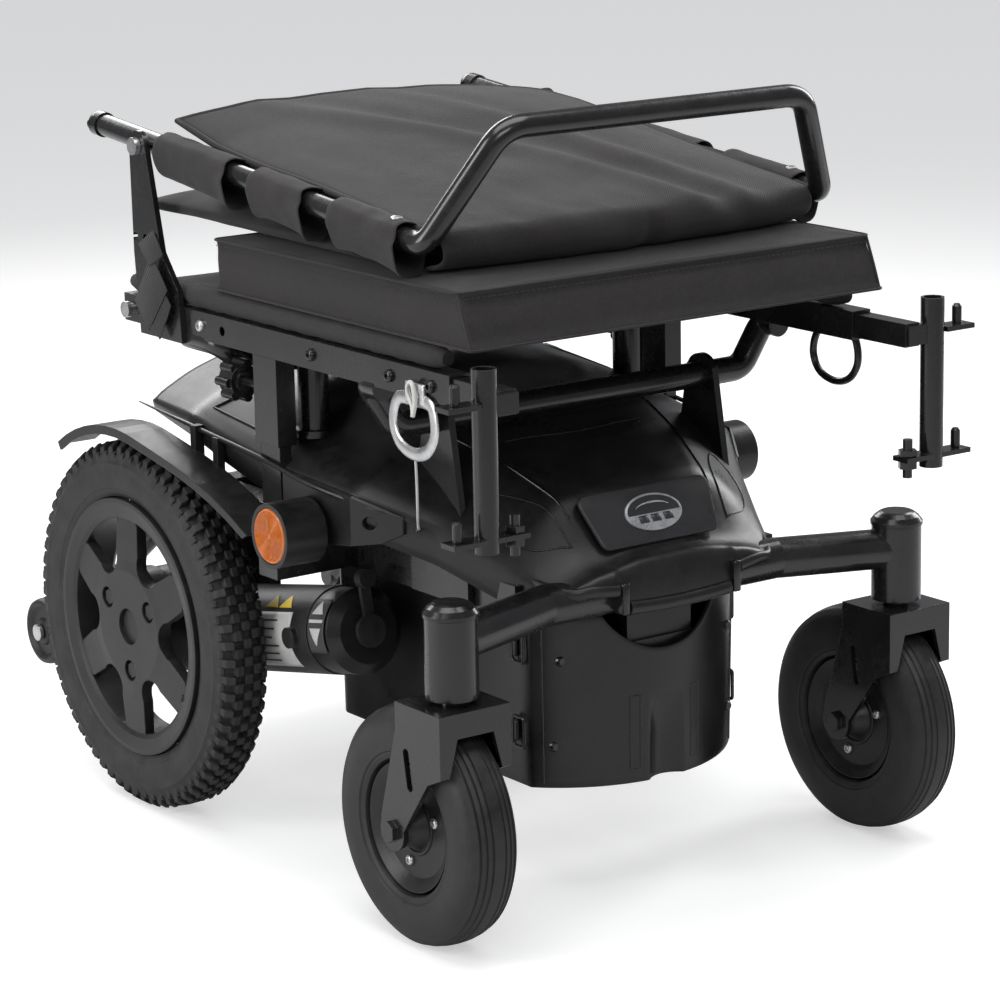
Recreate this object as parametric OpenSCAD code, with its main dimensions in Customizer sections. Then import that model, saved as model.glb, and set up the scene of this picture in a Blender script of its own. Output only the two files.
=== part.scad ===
// Rear-wheel-drive power wheelchair base with folding backrest, folded for transport.
// Origin: on the floor, on the centre line, half way between the front and rear extremes.
// +Z up, the chair drives towards -Y, +X is the occupant's left.

/* [Drive wheels] */
// Outside diameter of the drive tyre
drive_d = 328; // [300:1:360]
// Width of the drive tyre at the tread
drive_w = 50; // [40:1:60]
// Diameter of the drive rim where the tyre beads sit
drive_rim_d = 229; // [200:1:240]
// Distance between the centre planes of the drive wheels
drive_track = 432; // [410:1:480]

/* [Casters] */
// Outside diameter of a caster tyre
caster_d = 195; // [170:1:210]
// Width of a caster tyre
caster_w = 50; // [40:1:56]
// Distance between the two caster swivel axes
caster_track = 457; // [430:1:500]
// Distance from a swivel axis back to its wheel axle
caster_trail = 38; // [25:1:50]
// Outside diameter of a caster housing
housing_d = 42; // [38:1:50]
// Height of a caster housing
housing_h = 64; // [50:1:80]
// Diameter of a caster stem
stem_d = 14; // [10:1:18]

/* [Wheelbase] */
// Distance from the drive axle forward to the caster swivel axes
axle_to_swivel = 480; // [440:1:540]
// Distance from the drive axle back to the anti-tip wheel axle
antitip_reach = 267; // [240:1:300]
// Outside diameter of an anti-tip wheel
antitip_d = 64; // [50:1:76]

/* [Seat] */
// Distance between the centre planes of the seat rails
rail_span = 406; // [390:1:420]
// Height of a seat rail
rail_h = 24; // [20:1:30]
// Width of a seat rail
rail_w = 20; // [16:1:24]
// Height of the underside of the seat rails above the floor
rail_z = 431; // [420:1:480]
// Length of the seat rails
rail_len = 490; // [450:1:520]
// Width of the seat cushion
cushion_w = 416; // [380:1:430]
// Length of the underside of the seat cushion
cushion_len = 371; // [330:1:420]
// Thickness of the seat cushion
cushion_h = 45; // [30:1:70]
// Outside diameter of the cross tubes under the seat
seat_tube_d = 22; // [18:1:26]

/* [Backrest] */
// Outside diameter of the backrest canes and the push bar
cane_d = 19; // [16:1:22]
// Distance between the two backrest canes
cane_span = 400; // [380:1:404]
// Length of a cane in front of its pivot when folded
cane_front = 403; // [360:1:430]
// Length of a cane behind its pivot when folded
cane_tail = 93; // [80:1:110]
// Height of the backrest pivot above the top of the seat rails
pivot_rise = 132; // [110:1:150]
// Slope of the folded canes down towards the front, in degrees
fold_slope = 5.6; // [3:0.2:8]
// Height of the push bar above the folded canes, along its own plane
bar_rise = 96; // [70:1:120]

/* [Footrest hanger posts] */
// Outside diameter of a hanger post
post_d = 19.5; // [16:0.5:24]
// Height of a hanger post
post_h = 141; // [120:1:170]
// Diameter of the hanger locating pins
pin_d = 8; // [6:1:10]

/* [Base] */
// Outside diameter of the front cross tube
cross_d = 34; // [28:1:38]
// Wall of the front cross tube and of the caster housings
cross_wall = 3; // [2:0.5:4]
// Width of the battery box
box_w = 212; // [190:1:216]
// Wall of the battery box
box_wall = 4; // [3:0.5:6]
// Diameter of a drive motor
motor_d = 76; // [60:1:80]
// Wall of the plastic hood, covers and fenders
skin = 3; // [2:0.5:4]

/* [Hidden] */
$fn = 64;

// Clearances
eps = 0.01;
face_gap = 0.3;      // two separate pieces that rest on each other
run_fit = 0.05;      // radial play of a turning shaft in its bore

// Colours
paint = [0.06, 0.06, 0.07];
plastic = [0.13, 0.13, 0.14];
panel_grey = [0.32, 0.32, 0.34];
rubber = [0.08, 0.08, 0.08];
cloth = [0.10, 0.09, 0.09];
zinc = [0.75, 0.76, 0.78];
amber = [0.95, 0.45, 0.05];

// Main stations. Lengths run from the drive axle, negative towards the front.
drive_r = drive_d / 2;
caster_r = caster_d / 2;
antitip_r = antitip_d / 2;
front_reach = axle_to_swivel - caster_trail + caster_r;
rear_reach = antitip_reach + antitip_r;
axle_y = (front_reach - rear_reach) / 2;
swivel_y = axle_y - axle_to_swivel;
caster_y = swivel_y + caster_trail;
swivel_x = caster_track / 2;
drive_x = drive_track / 2;

// Caster housing and fork heights
crown_gap = 4;
crown_t = 6;
crown_z = caster_d + crown_gap;
bearing_flange = 3;
housing_z = crown_z + crown_t + bearing_flange + 1.2;
housing_top = housing_z + housing_h;
cap_h = 11;

// Seat stations
rail_x = rail_span / 2;
rail_top = rail_z + rail_h;
rail_rear = axle_y + 27;
rail_front = rail_rear - rail_len;
rail_wall = 2;
roll_d = 18.5;
cushion_z = rail_top + roll_d + 2 * face_gap;
cushion_front = rail_front - 23;
cushion_lean = 19;
front_tube_y = axle_y - 337;
front_tube_z = rail_z - 39.5;
rear_tube_y = axle_y - 115;
rear_tube_z = rail_z - 23;
tube_half = 178;

// Backrest stations
pivot_y = axle_y - 14.5;
pivot_z = rail_top + pivot_rise;
cane_x = cane_span / 2;
pivot_bolt_d = 8;
plate_t = 5;
plate_x = rail_x + rail_w / 2 + face_gap;

// Hanger posts
post_x = rail_x + 22;
post_y = rail_front - 62;
post_z = rail_z - 100;

// Front cross tube: straight in the middle, its ends sweep forward to the housings
cross_y = swivel_y + 30;
cross_z = housing_z + housing_h * 0.72;
cross_bend_x = 120;
cross_end_y = swivel_y;
cross_end_z = cross_z - 3;

// Chassis
frame_x = 122;
frame_w = 22;
frame_h = 30;
frame_z = cross_z - 15;
frame_rear = axle_y + 62;
frame_front = cross_y + cross_d / 2 + 0.5;

// Battery box
box_x = box_w / 2;
box_z = 92;
box_top = frame_z - 4;
box_front = swivel_y + 68;
box_rear = axle_y - 128;
box_bulge = 47;

// Motors and gearboxes
motor_x = 151;
motor_pitch = 11;
gear_z = drive_r;
motor_back = axle_y - 64;
motor_len = 150;
brake_len = 38;
motor_gap = 6;
shaft_d = 20;
gear_half = 28;
gear_out = motor_x + gear_half;

// Seat supports
sleeve_y = axle_y - 197;
sleeve_len = 35;
sleeve_w = 18;
sleeve_wall = 3;
sleeve_z = rail_z - 74;
clamp_y = axle_y - 142;
clamp_z = rail_z - 29;
seat_post_x = 165;
seat_post_y = sleeve_y;
gusset_t = 6;
gusset_x = frame_x + frame_w / 2 + face_gap + gusset_t / 2;

// Anti-tip wheels
antitip_x = 172;
antitip_y = axle_y + antitip_reach;
antitip_z = 92;
antitip_w = 24;

// Hood
hood_nose = swivel_y - axle_y + 17;
hood_rear = axle_y + 38;
hood_half = 209;
hood_skirt = 34;     // depth of the hood's side skirt ahead of the drive wheels
hood_skirt_rear = 12;
fender_in = hood_half + 1;
panel_y = axle_y + hood_nose + 10.2;
panel_rise = 43;
panel_run = 30;

// Helpers --------------------------------------------------------------

// One side: -1 is the right side, 1 the left
module side(s) {
    if (s > 0) children();
    else mirror([1, 0, 0]) children();
}

module both() {
    children();
    mirror([1, 0, 0]) children();
}

// Cylinder along X between two stations
module x_cyl(x0, x1, r) {
    translate([x0, 0, 0]) rotate([0, 90, 0]) cylinder(r = r, h = x1 - x0);
}

// Cylinder along Y between two stations
module y_cyl(y0, y1, r) {
    translate([0, y0, 0]) rotate([-90, 0, 0]) cylinder(r = r, h = y1 - y0);
}

// Extrudes a Y-Z outline along X from x0 to x1
module yz_plate(x0, x1) {
    translate([x0, 0, 0]) rotate([90, 0, 90]) linear_extrude(height = x1 - x0) children();
}

// Round rod between two points
module rod(a, b, r) {
    d = b - a;
    len = norm(d);
    translate(a)
        rotate([0, acos(d[2] / len), atan2(d[1], d[0])])
        cylinder(r = r, h = len);
}

// Round tube through a list of points with ball corners
module run(pts, r) {
    for (i = [0 : len(pts) - 2]) rod(pts[i], pts[i + 1], r);
    if (len(pts) > 2) for (i = [1 : len(pts) - 2]) translate(pts[i]) sphere(r = r);
}

function unit(v) = v / norm(v);

// Arc that rounds the corner at p between its neighbours a and b
function corner(a, p, b, radius, n) =
    let (
        d0 = unit(a - p),
        d1 = unit(b - p),
        phi = acos(d0 * d1),
        c = p + unit(d0 + d1) * radius / sin(phi / 2),
        v0 = p + d0 * radius / tan(phi / 2) - c,
        v1 = p + d1 * radius / tan(phi / 2) - c,
        w = 180 - phi
    )
    [for (i = [0 : n]) c + (sin(w * (1 - i / n)) * v0 + sin(w * i / n) * v1) / sin(w)];

// A route with its inner corners rounded
function bent(pts, radius, n) = concat(
    [pts[0]],
    [for (i = [1 : len(pts) - 2]) each corner(pts[i - 1], pts[i], pts[i + 1], radius, n)],
    [pts[len(pts) - 1]]
);

// Carries a side vector along the tangents ts without twisting it
function carry(ts, us, i) =
    i >= len(ts) ? us : carry(ts, concat(us, [unit(us[i - 1] - ts[i] * (us[i - 1] * ts[i]))]), i + 1);

// Bent bar or tube of radius r along a route with rounded corners
module bent_rod(pts, radius, r, sides) {
    p = bent(pts, radius, 6);
    n = len(p);
    ts = [for (i = [0 : n - 1]) unit(p[min(i + 1, n - 1)] - p[max(i - 1, 0)])];
    first = unit(cross(ts[0], abs(ts[0][0]) < 0.8 ? [1, 0, 0] : [0, 0, 1]));
    us = carry(ts, [first], 1);
    polyhedron(
        points = [for (i = [0 : n - 1], j = [0 : sides - 1]) let (a = 360 * j / sides)
            p[i] + r * (cos(a) * us[i] + sin(a) * cross(ts[i], us[i]))],
        faces = concat(
            [[for (j = [0 : sides - 1]) j]],
            [[for (j = [sides - 1 : -1 : 0]) (n - 1) * sides + j]],
            [for (i = [0 : n - 2], j = [0 : sides - 1]) let (k = (j + 1) % sides)
                [i * sides + j, (i + 1) * sides + j, (i + 1) * sides + k, i * sides + k]]
        ),
        convexity = 6
    );
}

// Moves children from the cane's own line (Y = 0 at the pivot, front negative) to its folded place
module on_cane() {
    translate([0, pivot_y, pivot_z]) rotate([fold_slope, 0, 0]) children();
}

// Chassis ----------------------------------------------------------------

module chassis_frame() {
    post_base = frame_z + frame_h;
    gear_plate_y = axle_y - 40;
    color(paint) {
        both() {
            // side tube
            translate([frame_x - frame_w / 2, frame_front, frame_z])
                cube([frame_w, frame_rear - frame_front, frame_h]);
            // outrigger that carries the clamped seat post
            translate([frame_x, sleeve_y - 14, frame_z + 4])
                cube([rail_x - frame_x + 12, 28, frame_h - 8]);
            // motor hanger plate down to the gearbox
            translate([frame_x - frame_w / 2 - 6 + eps, gear_plate_y, gear_z - 30])
                cube([6, 90, frame_z + frame_h - gear_z + 30]);
            // gearbox foot
            translate([frame_x - frame_w / 2 - eps, gear_plate_y, gear_z + gear_half + 14 + face_gap])
                cube([60, 90, 6]);
            // anti-tip receiver
            translate([frame_x - frame_w / 2, frame_rear - 40, frame_z - 40 + eps])
                cube([frame_w, 40, 40]);
        }
        // cross members
        for (y = [box_rear + 14, frame_rear - 26])
            translate([-frame_x, y, frame_z]) cube([2 * frame_x, 26, frame_h]);
        // battery tray strips
        for (y = [box_front + 70, box_rear - 60])
            translate([-frame_x, y, box_top + 1]) cube([2 * frame_x, 24, frame_z - box_top - 1 + eps]);
    }
}

module front_cross_tube() {
    color(paint) {
        difference() {
            union() {
                run([
                    [-swivel_x, cross_end_y, cross_end_z], [-cross_bend_x, cross_y, cross_z],
                    [cross_bend_x, cross_y, cross_z], [swivel_x, cross_end_y, cross_end_z]
                ], cross_d / 2);
                both() translate([swivel_x, swivel_y, housing_z]) cylinder(d = housing_d, h = housing_h);
            }
            both() translate([swivel_x, swivel_y, housing_z - 1])
                cylinder(r = housing_d / 2 - cross_wall, h = housing_h + 2);
        }
    }
}

module housing_caps() {
    r = housing_d / 2;
    color(plastic) both() translate([swivel_x, swivel_y, housing_top + face_gap])
        rotate_extrude() polygon([
            [0, 0], [r + 1, 0], [r + 1, 3], [r - 2, 7], [r * 0.72, cap_h - 1],
            [r * 0.62, cap_h], [0, cap_h]
        ]);
}

module caster_bearings() {
    r_out = housing_d / 2 - cross_wall - 0.1;
    r_in = stem_d / 2 + run_fit;
    color(zinc) both() for (z = [housing_z + 1, housing_top - 13])
        translate([swivel_x, swivel_y, z]) difference() {
            cylinder(r = r_out, h = 12);
            translate([0, 0, -1]) cylinder(r = r_in, h = 14);
        }
}

// Batteries and their box ---------------------------------------------------

batt_l = 190;
batt_w = 128;
batt_h = 128;

module battery_box_2d(in) {
    // plan outline: straight sides, front wall bowed forward
    x = box_x - in;
    y0 = box_front + in;
    y1 = box_rear - in;
    bow_r = (x * x + box_bulge * box_bulge) / (2 * box_bulge);
    polygon([[-x, y1], [x, y1], [x, y0], [-x, y0]]);
    intersection() {
        translate([0, y0 - box_bulge + bow_r]) circle(r = bow_r, $fn = 128);
        translate([-x, y0 - box_bulge - 1]) square([2 * x, box_bulge + 2]);
    }
}

module battery_box() {
    notch_w = 122;
    // lugs that carry the box on the side tubes
    color(plastic) both() for (y = [box_front + 30, box_rear - 96])
        translate([box_x - eps, y, box_top - 6])
            cube([frame_x - box_x, 30, frame_z - face_gap - box_top + 6]);
    color(plastic) difference() {
        translate([0, 0, box_z]) linear_extrude(height = box_top - box_z) battery_box_2d(0);
        translate([0, 0, box_z + box_wall]) linear_extrude(height = box_top) battery_box_2d(box_wall);
        // crescent notch above the pull handle
        translate([0, box_front - box_bulge - 1, box_top + 34])
            y_cyl(0, box_bulge + box_wall + 4, notch_w / 2 + 6);
    }
}

module battery_box_handle() {
    // grip block that spans the notch behind the front wall
    w = 66;
    // the wall bows back by this much at the grip's ends
    sag = w * w / 8 / ((box_x * box_x + box_bulge * box_bulge) / (2 * box_bulge));
    y = box_front - box_bulge + box_wall + sag + 2 * face_gap;
    color(plastic) translate([-w / 2, y + 3, box_top - 26]) cube([w, 12, 22]);
    color(plastic) translate([-w / 2, y, box_top - 44]) cube([w, 15, 18 + eps]);
}

module battery_box_clips() {
    color(plastic) both() for (z = [box_z + 34, box_top - 42])
        translate([box_x + face_gap / 2, box_front + 6 + (box_top - z) * 0.12, z])
            cube([4, 14, 26]);
}

module batteries() {
    z = box_z + box_wall + face_gap;
    color([0.2, 0.2, 0.22]) for (i = [0, 1])
        translate([-batt_l / 2, box_rear - box_wall - 1 - (i + 1) * (batt_w + 2), z]) {
            cube([batt_l, batt_w, batt_h]);
            for (x = [24, batt_l - 24]) translate([x, 22, batt_h - eps]) cylinder(r = 7, h = 6);
        }
}

module power_module() {
    // motor controller on top of the rear cross member
    z = frame_z + frame_h + face_gap;
    color([0.25, 0.25, 0.27]) translate([0, frame_rear - 60, z]) {
        translate([-80, -50, 0]) cube([160, 110, 36]);
        for (i = [0 : 7]) translate([-70 + i * 19, -44, 36 - eps]) cube([4, 98, 7]);
    }
}

// Hood and covers -----------------------------------------------------------

// Half-outline stations of the hood, from the front lip to the rear edge:
// [y from the drive axle, half width, edge height, crown height, crown half width]
hood_st = [
    [hood_nose, 108, cross_z + 6, cross_z + 22, 60],
    [hood_nose + 17, 119, cross_z + 12, cross_z + 32, 66],
    [hood_nose + 47, 132, cross_z + 26, cross_z + 74, 74],
    [hood_nose + 105, 160, cross_z + 54, cross_z + 98, 92],
    [hood_nose + 163, 196, cross_z + 76, cross_z + 112, 110],
    [-180, hood_half, cross_z + 88, cross_z + 128, 120],
    [-60, hood_half - 6, cross_z + 104, cross_z + 138, 116],
    [hood_rear - axle_y, hood_half - 26, cross_z + 100, cross_z + 132, 104]
];

// Half width and edge height of the hood at t from the drive axle
function flank_x(t) = lookup(t, [for (s = hood_st) [s[0], s[1]]]);
function flank_z(t) = lookup(t, [for (s = hood_st) [s[0], s[2]]]);

// Height of the hood's top at x, t
function hood_z(x, t) = let (s = [for (k = [0 : 4]) lookup(t, [for (q = hood_st) [q[0], q[k]]])])
    lookup(x, [
        [0, s[3] + 5], [s[4] * 0.5, s[3] + 5], [s[4], s[3]],
        [(s[1] + s[4]) / 2, (s[2] + s[3]) / 2 + 4], [s[1], s[2]]
    ]);

function hood_ring(s, t, drop) = [
    [s[1] - t, s[2] - drop],
    [s[1] - t, s[2] - t * 0.6],
    [(s[1] + s[4]) / 2 - t * 0.5, (s[2] + s[3]) / 2 + 4 - t],
    [s[4] - t * 0.3, s[3] - t],
    [s[4] * 0.5, s[3] + 5 - t],
    [-s[4] * 0.5, s[3] + 5 - t],
    [-(s[4] - t * 0.3), s[3] - t],
    [-((s[1] + s[4]) / 2 - t * 0.5), (s[2] + s[3]) / 2 + 4 - t],
    [-(s[1] - t), s[2] - t * 0.6],
    [-(s[1] - t), s[2] - drop]
];

// Closed loft through the hood stations, pulled in by t and stretched by g at both ends
module hood_loft(t, g, drop) {
    n = len(hood_st);
    m = 10;
    skirt = [for (i = [0 : n - 1]) (i < 5 ? hood_skirt : hood_skirt_rear) + drop];
    pts = [for (i = [0 : n - 1], p = hood_ring(hood_st[i], t, skirt[i]))
        [p[0], axle_y + hood_st[i][0] + (i == 0 ? -g : i == n - 1 ? g : 0), p[1]]];
    sides = [for (i = [0 : n - 2], j = [0 : m - 1])
        [i * m + j, i * m + (j + 1) % m, (i + 1) * m + (j + 1) % m, (i + 1) * m + j]];
    polyhedron(
        points = pts,
        faces = concat(
            sides,
            [[for (j = [m - 1 : -1 : 0]) j]],
            [[for (j = [0 : m - 1]) (n - 1) * m + j]]
        ),
        convexity = 6
    );
}

module hood() {
    color(plastic) difference() {
        hood_loft(0, 0, 0);
        hood_loft(skin, 5, 20);
        // seats on the cross tube and clears the side tubes of the chassis
        translate([0, cross_y, cross_z]) x_cyl(-160, 160, cross_d / 2 + face_gap);
        both() {
            rod([cross_bend_x, cross_y, cross_z], [swivel_x, cross_end_y, cross_end_z], cross_d / 2 + face_gap);
            translate([frame_x - frame_w / 2 - face_gap, frame_front - 30, frame_z - 60])
                cube([frame_w + 2 * face_gap, frame_rear - frame_front + 60, frame_h + 60 + face_gap]);
        }
        // front brackets and seat posts pass through
        both() {
            translate([gusset_x - 10, front_tube_y - 44, frame_z]) cube([22, 88, 160]);
            translate([seat_post_x, seat_post_y, frame_z]) cylinder(r = 20, h = 160);
            translate([rail_x - 16, sleeve_y - 24, frame_z]) cube([32, 48, 160]);
        }
    }
}

module hood_front_panel() {
    // light panel on the sloping face of the hood
    z0 = cross_z + 33;
    low = 58;
    high = 68;
    back = [
        [-low, panel_y, z0], [low, panel_y, z0],
        [high, panel_y + panel_run, z0 + panel_rise], [-high, panel_y + panel_run, z0 + panel_rise]
    ];
    color(panel_grey) polyhedron(
        points = concat(back, [for (q = back) q + [0, -skin, 2]]),
        faces = [[0, 1, 2, 3], [7, 6, 5, 4], [4, 5, 1, 0], [5, 6, 2, 1], [6, 7, 3, 2], [7, 4, 0, 3]]
    );
}

module badge() {
    // plain oval plate, flat on the front panel
    up = 21;
    tilt = atan(panel_rise / panel_run);
    color(zinc) translate([0, panel_y - skin + up * panel_run / panel_rise - 0.4, cross_z + 35 + up])
        rotate([tilt, 0, 0]) linear_extrude(height = 3) intersection() {
            translate([0, -22]) circle(r = 40);
            translate([0, 22]) circle(r = 40);
        }
}

module hood_clips() {
    // spring straps that hold the hood lip on the cross tube
    r = cross_d / 2 + 1;
    color(plastic) both() translate([58, cross_y, cross_z]) difference() {
        x_cyl(-4, 4, r + 3);
        x_cyl(-5, 5, r);
        translate([-6, 2, -40]) cube([12, 60, 80]);
        translate([-6, -40, -40]) cube([12, 80, 30]);
    }
}

module side_covers() {
    // plates that follow the hood's flanks below their edge, with a service hole
    st = [[-214, 30], [-255, 28], [hood_nose + 163, 33], [hood_nose + 140, 37], [hood_nose + 124, 46]];
    n = len(st);
    x = [for (q = st) flank_x(q[0]) + face_gap];
    rings = [for (i = [0 : n - 1]) let (t = st[i][0], y = axle_y + t, low = cross_z + st[i][1], high = flank_z(t) - 1)
        [[x[i], y, low], [x[i], y, high], [x[i] + skin, y, high - 2], [x[i] + skin, y, low]]];
    color(plastic) both() difference() {
        polyhedron(
            points = [for (r = rings, q = r) q],
            faces = concat(
                [[0, 1, 2, 3], [4 * n - 1, 4 * n - 2, 4 * n - 3, 4 * n - 4]],
                [for (i = [0 : n - 2], j = [0 : 3]) [4 * i + j, 4 * i + 4 + j, 4 * i + 4 + (j + 1) % 4, 4 * i + (j + 1) % 4]]
            )
        );
        translate([0, axle_y + hood_nose + 149, cross_z + 53]) x_cyl(hood_half - 50, hood_half + 20, 5.5);
    }
}

fender_r = drive_r + 13;
function fender_pt(a, t) =
    let (r = fender_r + t + (a > 100 ? (a - 100) * (a - 100) * 0.028 : 0))
    [axle_y + r * cos(a), drive_r + r * sin(a)];

module fenders() {
    x0 = fender_in;
    x1 = drive_x + drive_w / 2 + 6;
    n = 16;
    a0 = 57;
    a1 = 150;
    color(plastic) both() difference() {
        yz_plate(x0, x1) polygon(concat(
            [for (i = [0 : n]) fender_pt(a0 + (a1 - a0) * i / n, 0)],
            [for (i = [n : -1 : 0]) fender_pt(a0 + (a1 - a0) * i / n, skin)]
        ));
        translate([rail_x - sleeve_w / 2 - 1, sleeve_y - sleeve_len / 2 - 1, frame_z]) cube([sleeve_w + 2, sleeve_len + 2, 200]);
    }
    // tabs up to the hood's flank
    color(plastic) both() for (t = [-120, -84])
        translate([flank_x(t) + face_gap, axle_y + t, flank_z(t) - 42])
            cube([fender_in + skin - flank_x(t), 8, 40]);
    // outer lip
    color(plastic) both() yz_plate(x1 - 2.5, x1 + eps) polygon(concat(
        [for (i = [0 : n]) fender_pt(a0 + (a1 - a0) * i / n, -5)],
        [for (i = [n : -1 : 0]) fender_pt(a0 + (a1 - a0) * i / n, eps)]
    ));
}

reflector_y = axle_y - 252;
reflector_z = rail_z - 136;
reflector_r = 23;
reflector_x0 = flank_x(reflector_y - axle_y + reflector_r + 4) + skin + 2 * face_gap;
reflector_x1 = drive_x + drive_w / 2 + 6;

module reflector_housings() {
    color(plastic) both() translate([0, reflector_y, reflector_z]) difference() {
        x_cyl(reflector_x0, reflector_x1, reflector_r + 4);
        x_cyl(reflector_x1 - 8, reflector_x1 + 1, reflector_r + 0.3);
    }
}

module reflector_lenses() {
    color(amber) both() translate([0, reflector_y, reflector_z]) x_cyl(reflector_x1 - 8 + face_gap, reflector_x1 + 0.8, reflector_r);
}

module rear_wire_loops() {
    // bent wire loops that stand on the rear of the hood
    t = -2;
    foot = 1.9;
    rise = 17;
    w = 42;
    color(zinc) both() for (x = [86, 20]) {
        z0 = hood_z(x, t) + foot;
        z1 = hood_z(x + w, t) + foot;
        y = axle_y + t;
        bent_rod([[x, y, z0], [x + 4, y + 10, z0 + rise], [x + w - 4, y + 10, z0 + rise], [x + w, y, z1]], 6, 2.5, 8);
    }
}

// Moves children so that +Z runs along a motor, from its gearbox end to the front
module on_motor(s) {
    side(s) translate([motor_x, motor_back, gear_z - 2]) rotate([90 - motor_pitch, 0, 0]) children();
}

module motors() {
    color(paint) for (s = [-1, 1]) on_motor(s) {
        cylinder(d = motor_d, h = motor_len);
        // brush caps
        for (a = [0, 180]) rotate([0, 0, a]) translate([motor_d / 2 - 2, 0, motor_len - 22])
            rotate([0, 90, 0]) cylinder(r = 9, h = 7);
    }
}

module brake_covers() {
    color(plastic) for (s = [-1, 1]) on_motor(s) translate([0, 0, motor_len + face_gap]) {
        cylinder(d = motor_d - 2, h = brake_len - 8);
        translate([0, 0, brake_len - 8 - eps]) cylinder(d1 = motor_d - 2, d2 = motor_d - 20, h = 8);
        // lever bosses
        for (a = [150, 210]) rotate([0, 0, a]) translate([motor_d / 2 - 6, 0, 6]) cylinder(r = 7, h = 3);
    }
}

module brake_lever() {
    // lever that frees the brake, turning on the motor axis
    color(plastic) on_motor(1) translate([0, 0, motor_len + brake_len + face_gap + 0.4]) {
        cylinder(r = 14, h = 5);
        rotate([0, 0, 90]) translate([0, -5, 0]) cube([44, 10, 4]);
        rotate([0, 0, 90]) translate([44, 0, 0]) cylinder(r = 8, h = 9);
    }
}

module gearboxes() {
    bore = shaft_d / 2 + run_fit;
    color(paint) both() difference() {
        union() {
            translate([0, axle_y, gear_z]) x_cyl(motor_x - gear_half, gear_out, 42);
            translate([0, axle_y, gear_z]) x_cyl(gear_out - eps, gear_out + 6, 24);
            translate([motor_x, motor_back, gear_z - 2]) rotate([90 - motor_pitch, 0, 0])
                translate([0, 0, -52]) cylinder(r = gear_half - 1, h = 52 - face_gap);
        }
        translate([0, axle_y, gear_z]) x_cyl(motor_x - gear_half + 8, gear_out + 10, bore);
    }
}

// Drive wheels --------------------------------------------------------------------

// Turns a profile drawn as [radius, station] about X, station 0 at the wheel's centre plane
module wheel_turn(s, x, y, z) {
    side(s) translate([x, y, z]) rotate([0, 90, 0]) children();
}

rim_r = drive_rim_d / 2;
rim_half = drive_w / 2 - 1;
disc_out = rim_half - 1;
disc_t = 9;
hub_r = 50;
window_out = rim_r - 18;
hub_bolt_pcd = 80;
hub_bolt_r = 4;

module window_2d() {
    half = 20;
    c = hub_r + 18;
    r = 17;
    translate([c, 0]) circle(r = r);
    polygon(concat(
        [[c - 2, r], [c - 2, -r]],
        [for (i = [0 : 8]) let (a = -half + i * half / 4) window_out * [cos(a), sin(a)]]
    ));
}

module drive_rim(s) {
    color(plastic) wheel_turn(s, drive_x, axle_y, drive_r) difference() {
        union() {
            rotate_extrude($fn = 96) polygon([
                [rim_r - 8, -rim_half], [rim_r, -rim_half], [rim_r, -rim_half + 5], [rim_r - 10, -rim_half + 9],
                [rim_r - 12, 0], [rim_r - 10, rim_half - 9], [rim_r, rim_half - 5], [rim_r, rim_half],
                [rim_r - 4, rim_half], [rim_r - 14, disc_out - 1], [rim_r - 18, disc_out - 3],
                [hub_r + 10, disc_out - 1], [hub_r, disc_out], [16, disc_out],
                [16, disc_out - 12], [hub_r, disc_out - 14], [hub_r + 6, disc_out - disc_t - 2],
                [rim_r - 18, disc_out - disc_t - 3], [rim_r - 17, -rim_half + 8]
            ]);
            translate([0, 0, disc_out - 30]) cylinder(r = hub_r, h = 22);
        }
        translate([0, 0, -rim_half - 20]) cylinder(r = 16.2, h = 80);
        for (i = [0 : 5]) rotate([0, 0, 30 + 60 * i]) translate([0, 0, disc_out - 16])
            linear_extrude(height = 30) window_2d();
        for (i = [0 : 2]) rotate([0, 0, 120 * i]) translate([hub_bolt_pcd / 2, 0, 0]) {
            translate([0, 0, disc_out - 40]) cylinder(r = hub_bolt_r + 0.25, h = 60);
            translate([0, 0, disc_out - 7]) cylinder(r = 9.4, h = 12);
        }
    }
}

module drive_tyre(s) {
    r_in = rim_r + 0.1;
    half = drive_w / 2;
    color(rubber) wheel_turn(s, drive_x, axle_y, drive_r) rotate_extrude($fn = 96) polygon([
        [r_in, -half + 3], [r_in + 6, -half + 1], [r_in + 20, -half - 2], [drive_r - 14, -half - 2],
        [drive_r - 6, -half + 1], [drive_r - 2, -half + 6], [drive_r, -8], [drive_r, 8],
        [drive_r - 2, half - 6], [drive_r - 6, half - 1], [drive_r - 14, half + 2], [r_in + 20, half + 2],
        [r_in + 6, half - 1], [r_in, half - 3]
    ]);
}

module drive_hub(s) {
    // output shaft with its flange and three wheel bolts
    flange_x = gear_out + 6 + 1;
    color(zinc) side(s) {
        translate([0, axle_y, gear_z]) {
            x_cyl(motor_x - gear_half + 10, flange_x + eps, shaft_d / 2);
            x_cyl(flange_x, drive_x + disc_out - 30 - face_gap, hub_r - 2);
            x_cyl(flange_x, drive_x + disc_out - 4, 15.8);
        }
    }
    color(zinc) wheel_turn(s, drive_x, axle_y, drive_r)
        for (i = [0 : 2]) rotate([0, 0, 120 * i]) translate([hub_bolt_pcd / 2, 0, 0]) {
            translate([0, 0, disc_out - 30 + 0.2]) cylinder(r = hub_bolt_r, h = 24);
            translate([0, 0, disc_out - 7 + face_gap]) cylinder(r = 7.5, h = 5, $fn = 6);
        }
}

// Casters ------------------------------------------------------------------------------

fork_in = caster_w / 2 + 4;
fork_t = 4.5;
axle_d = 10;
caster_rim_r = 52.4;

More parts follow.
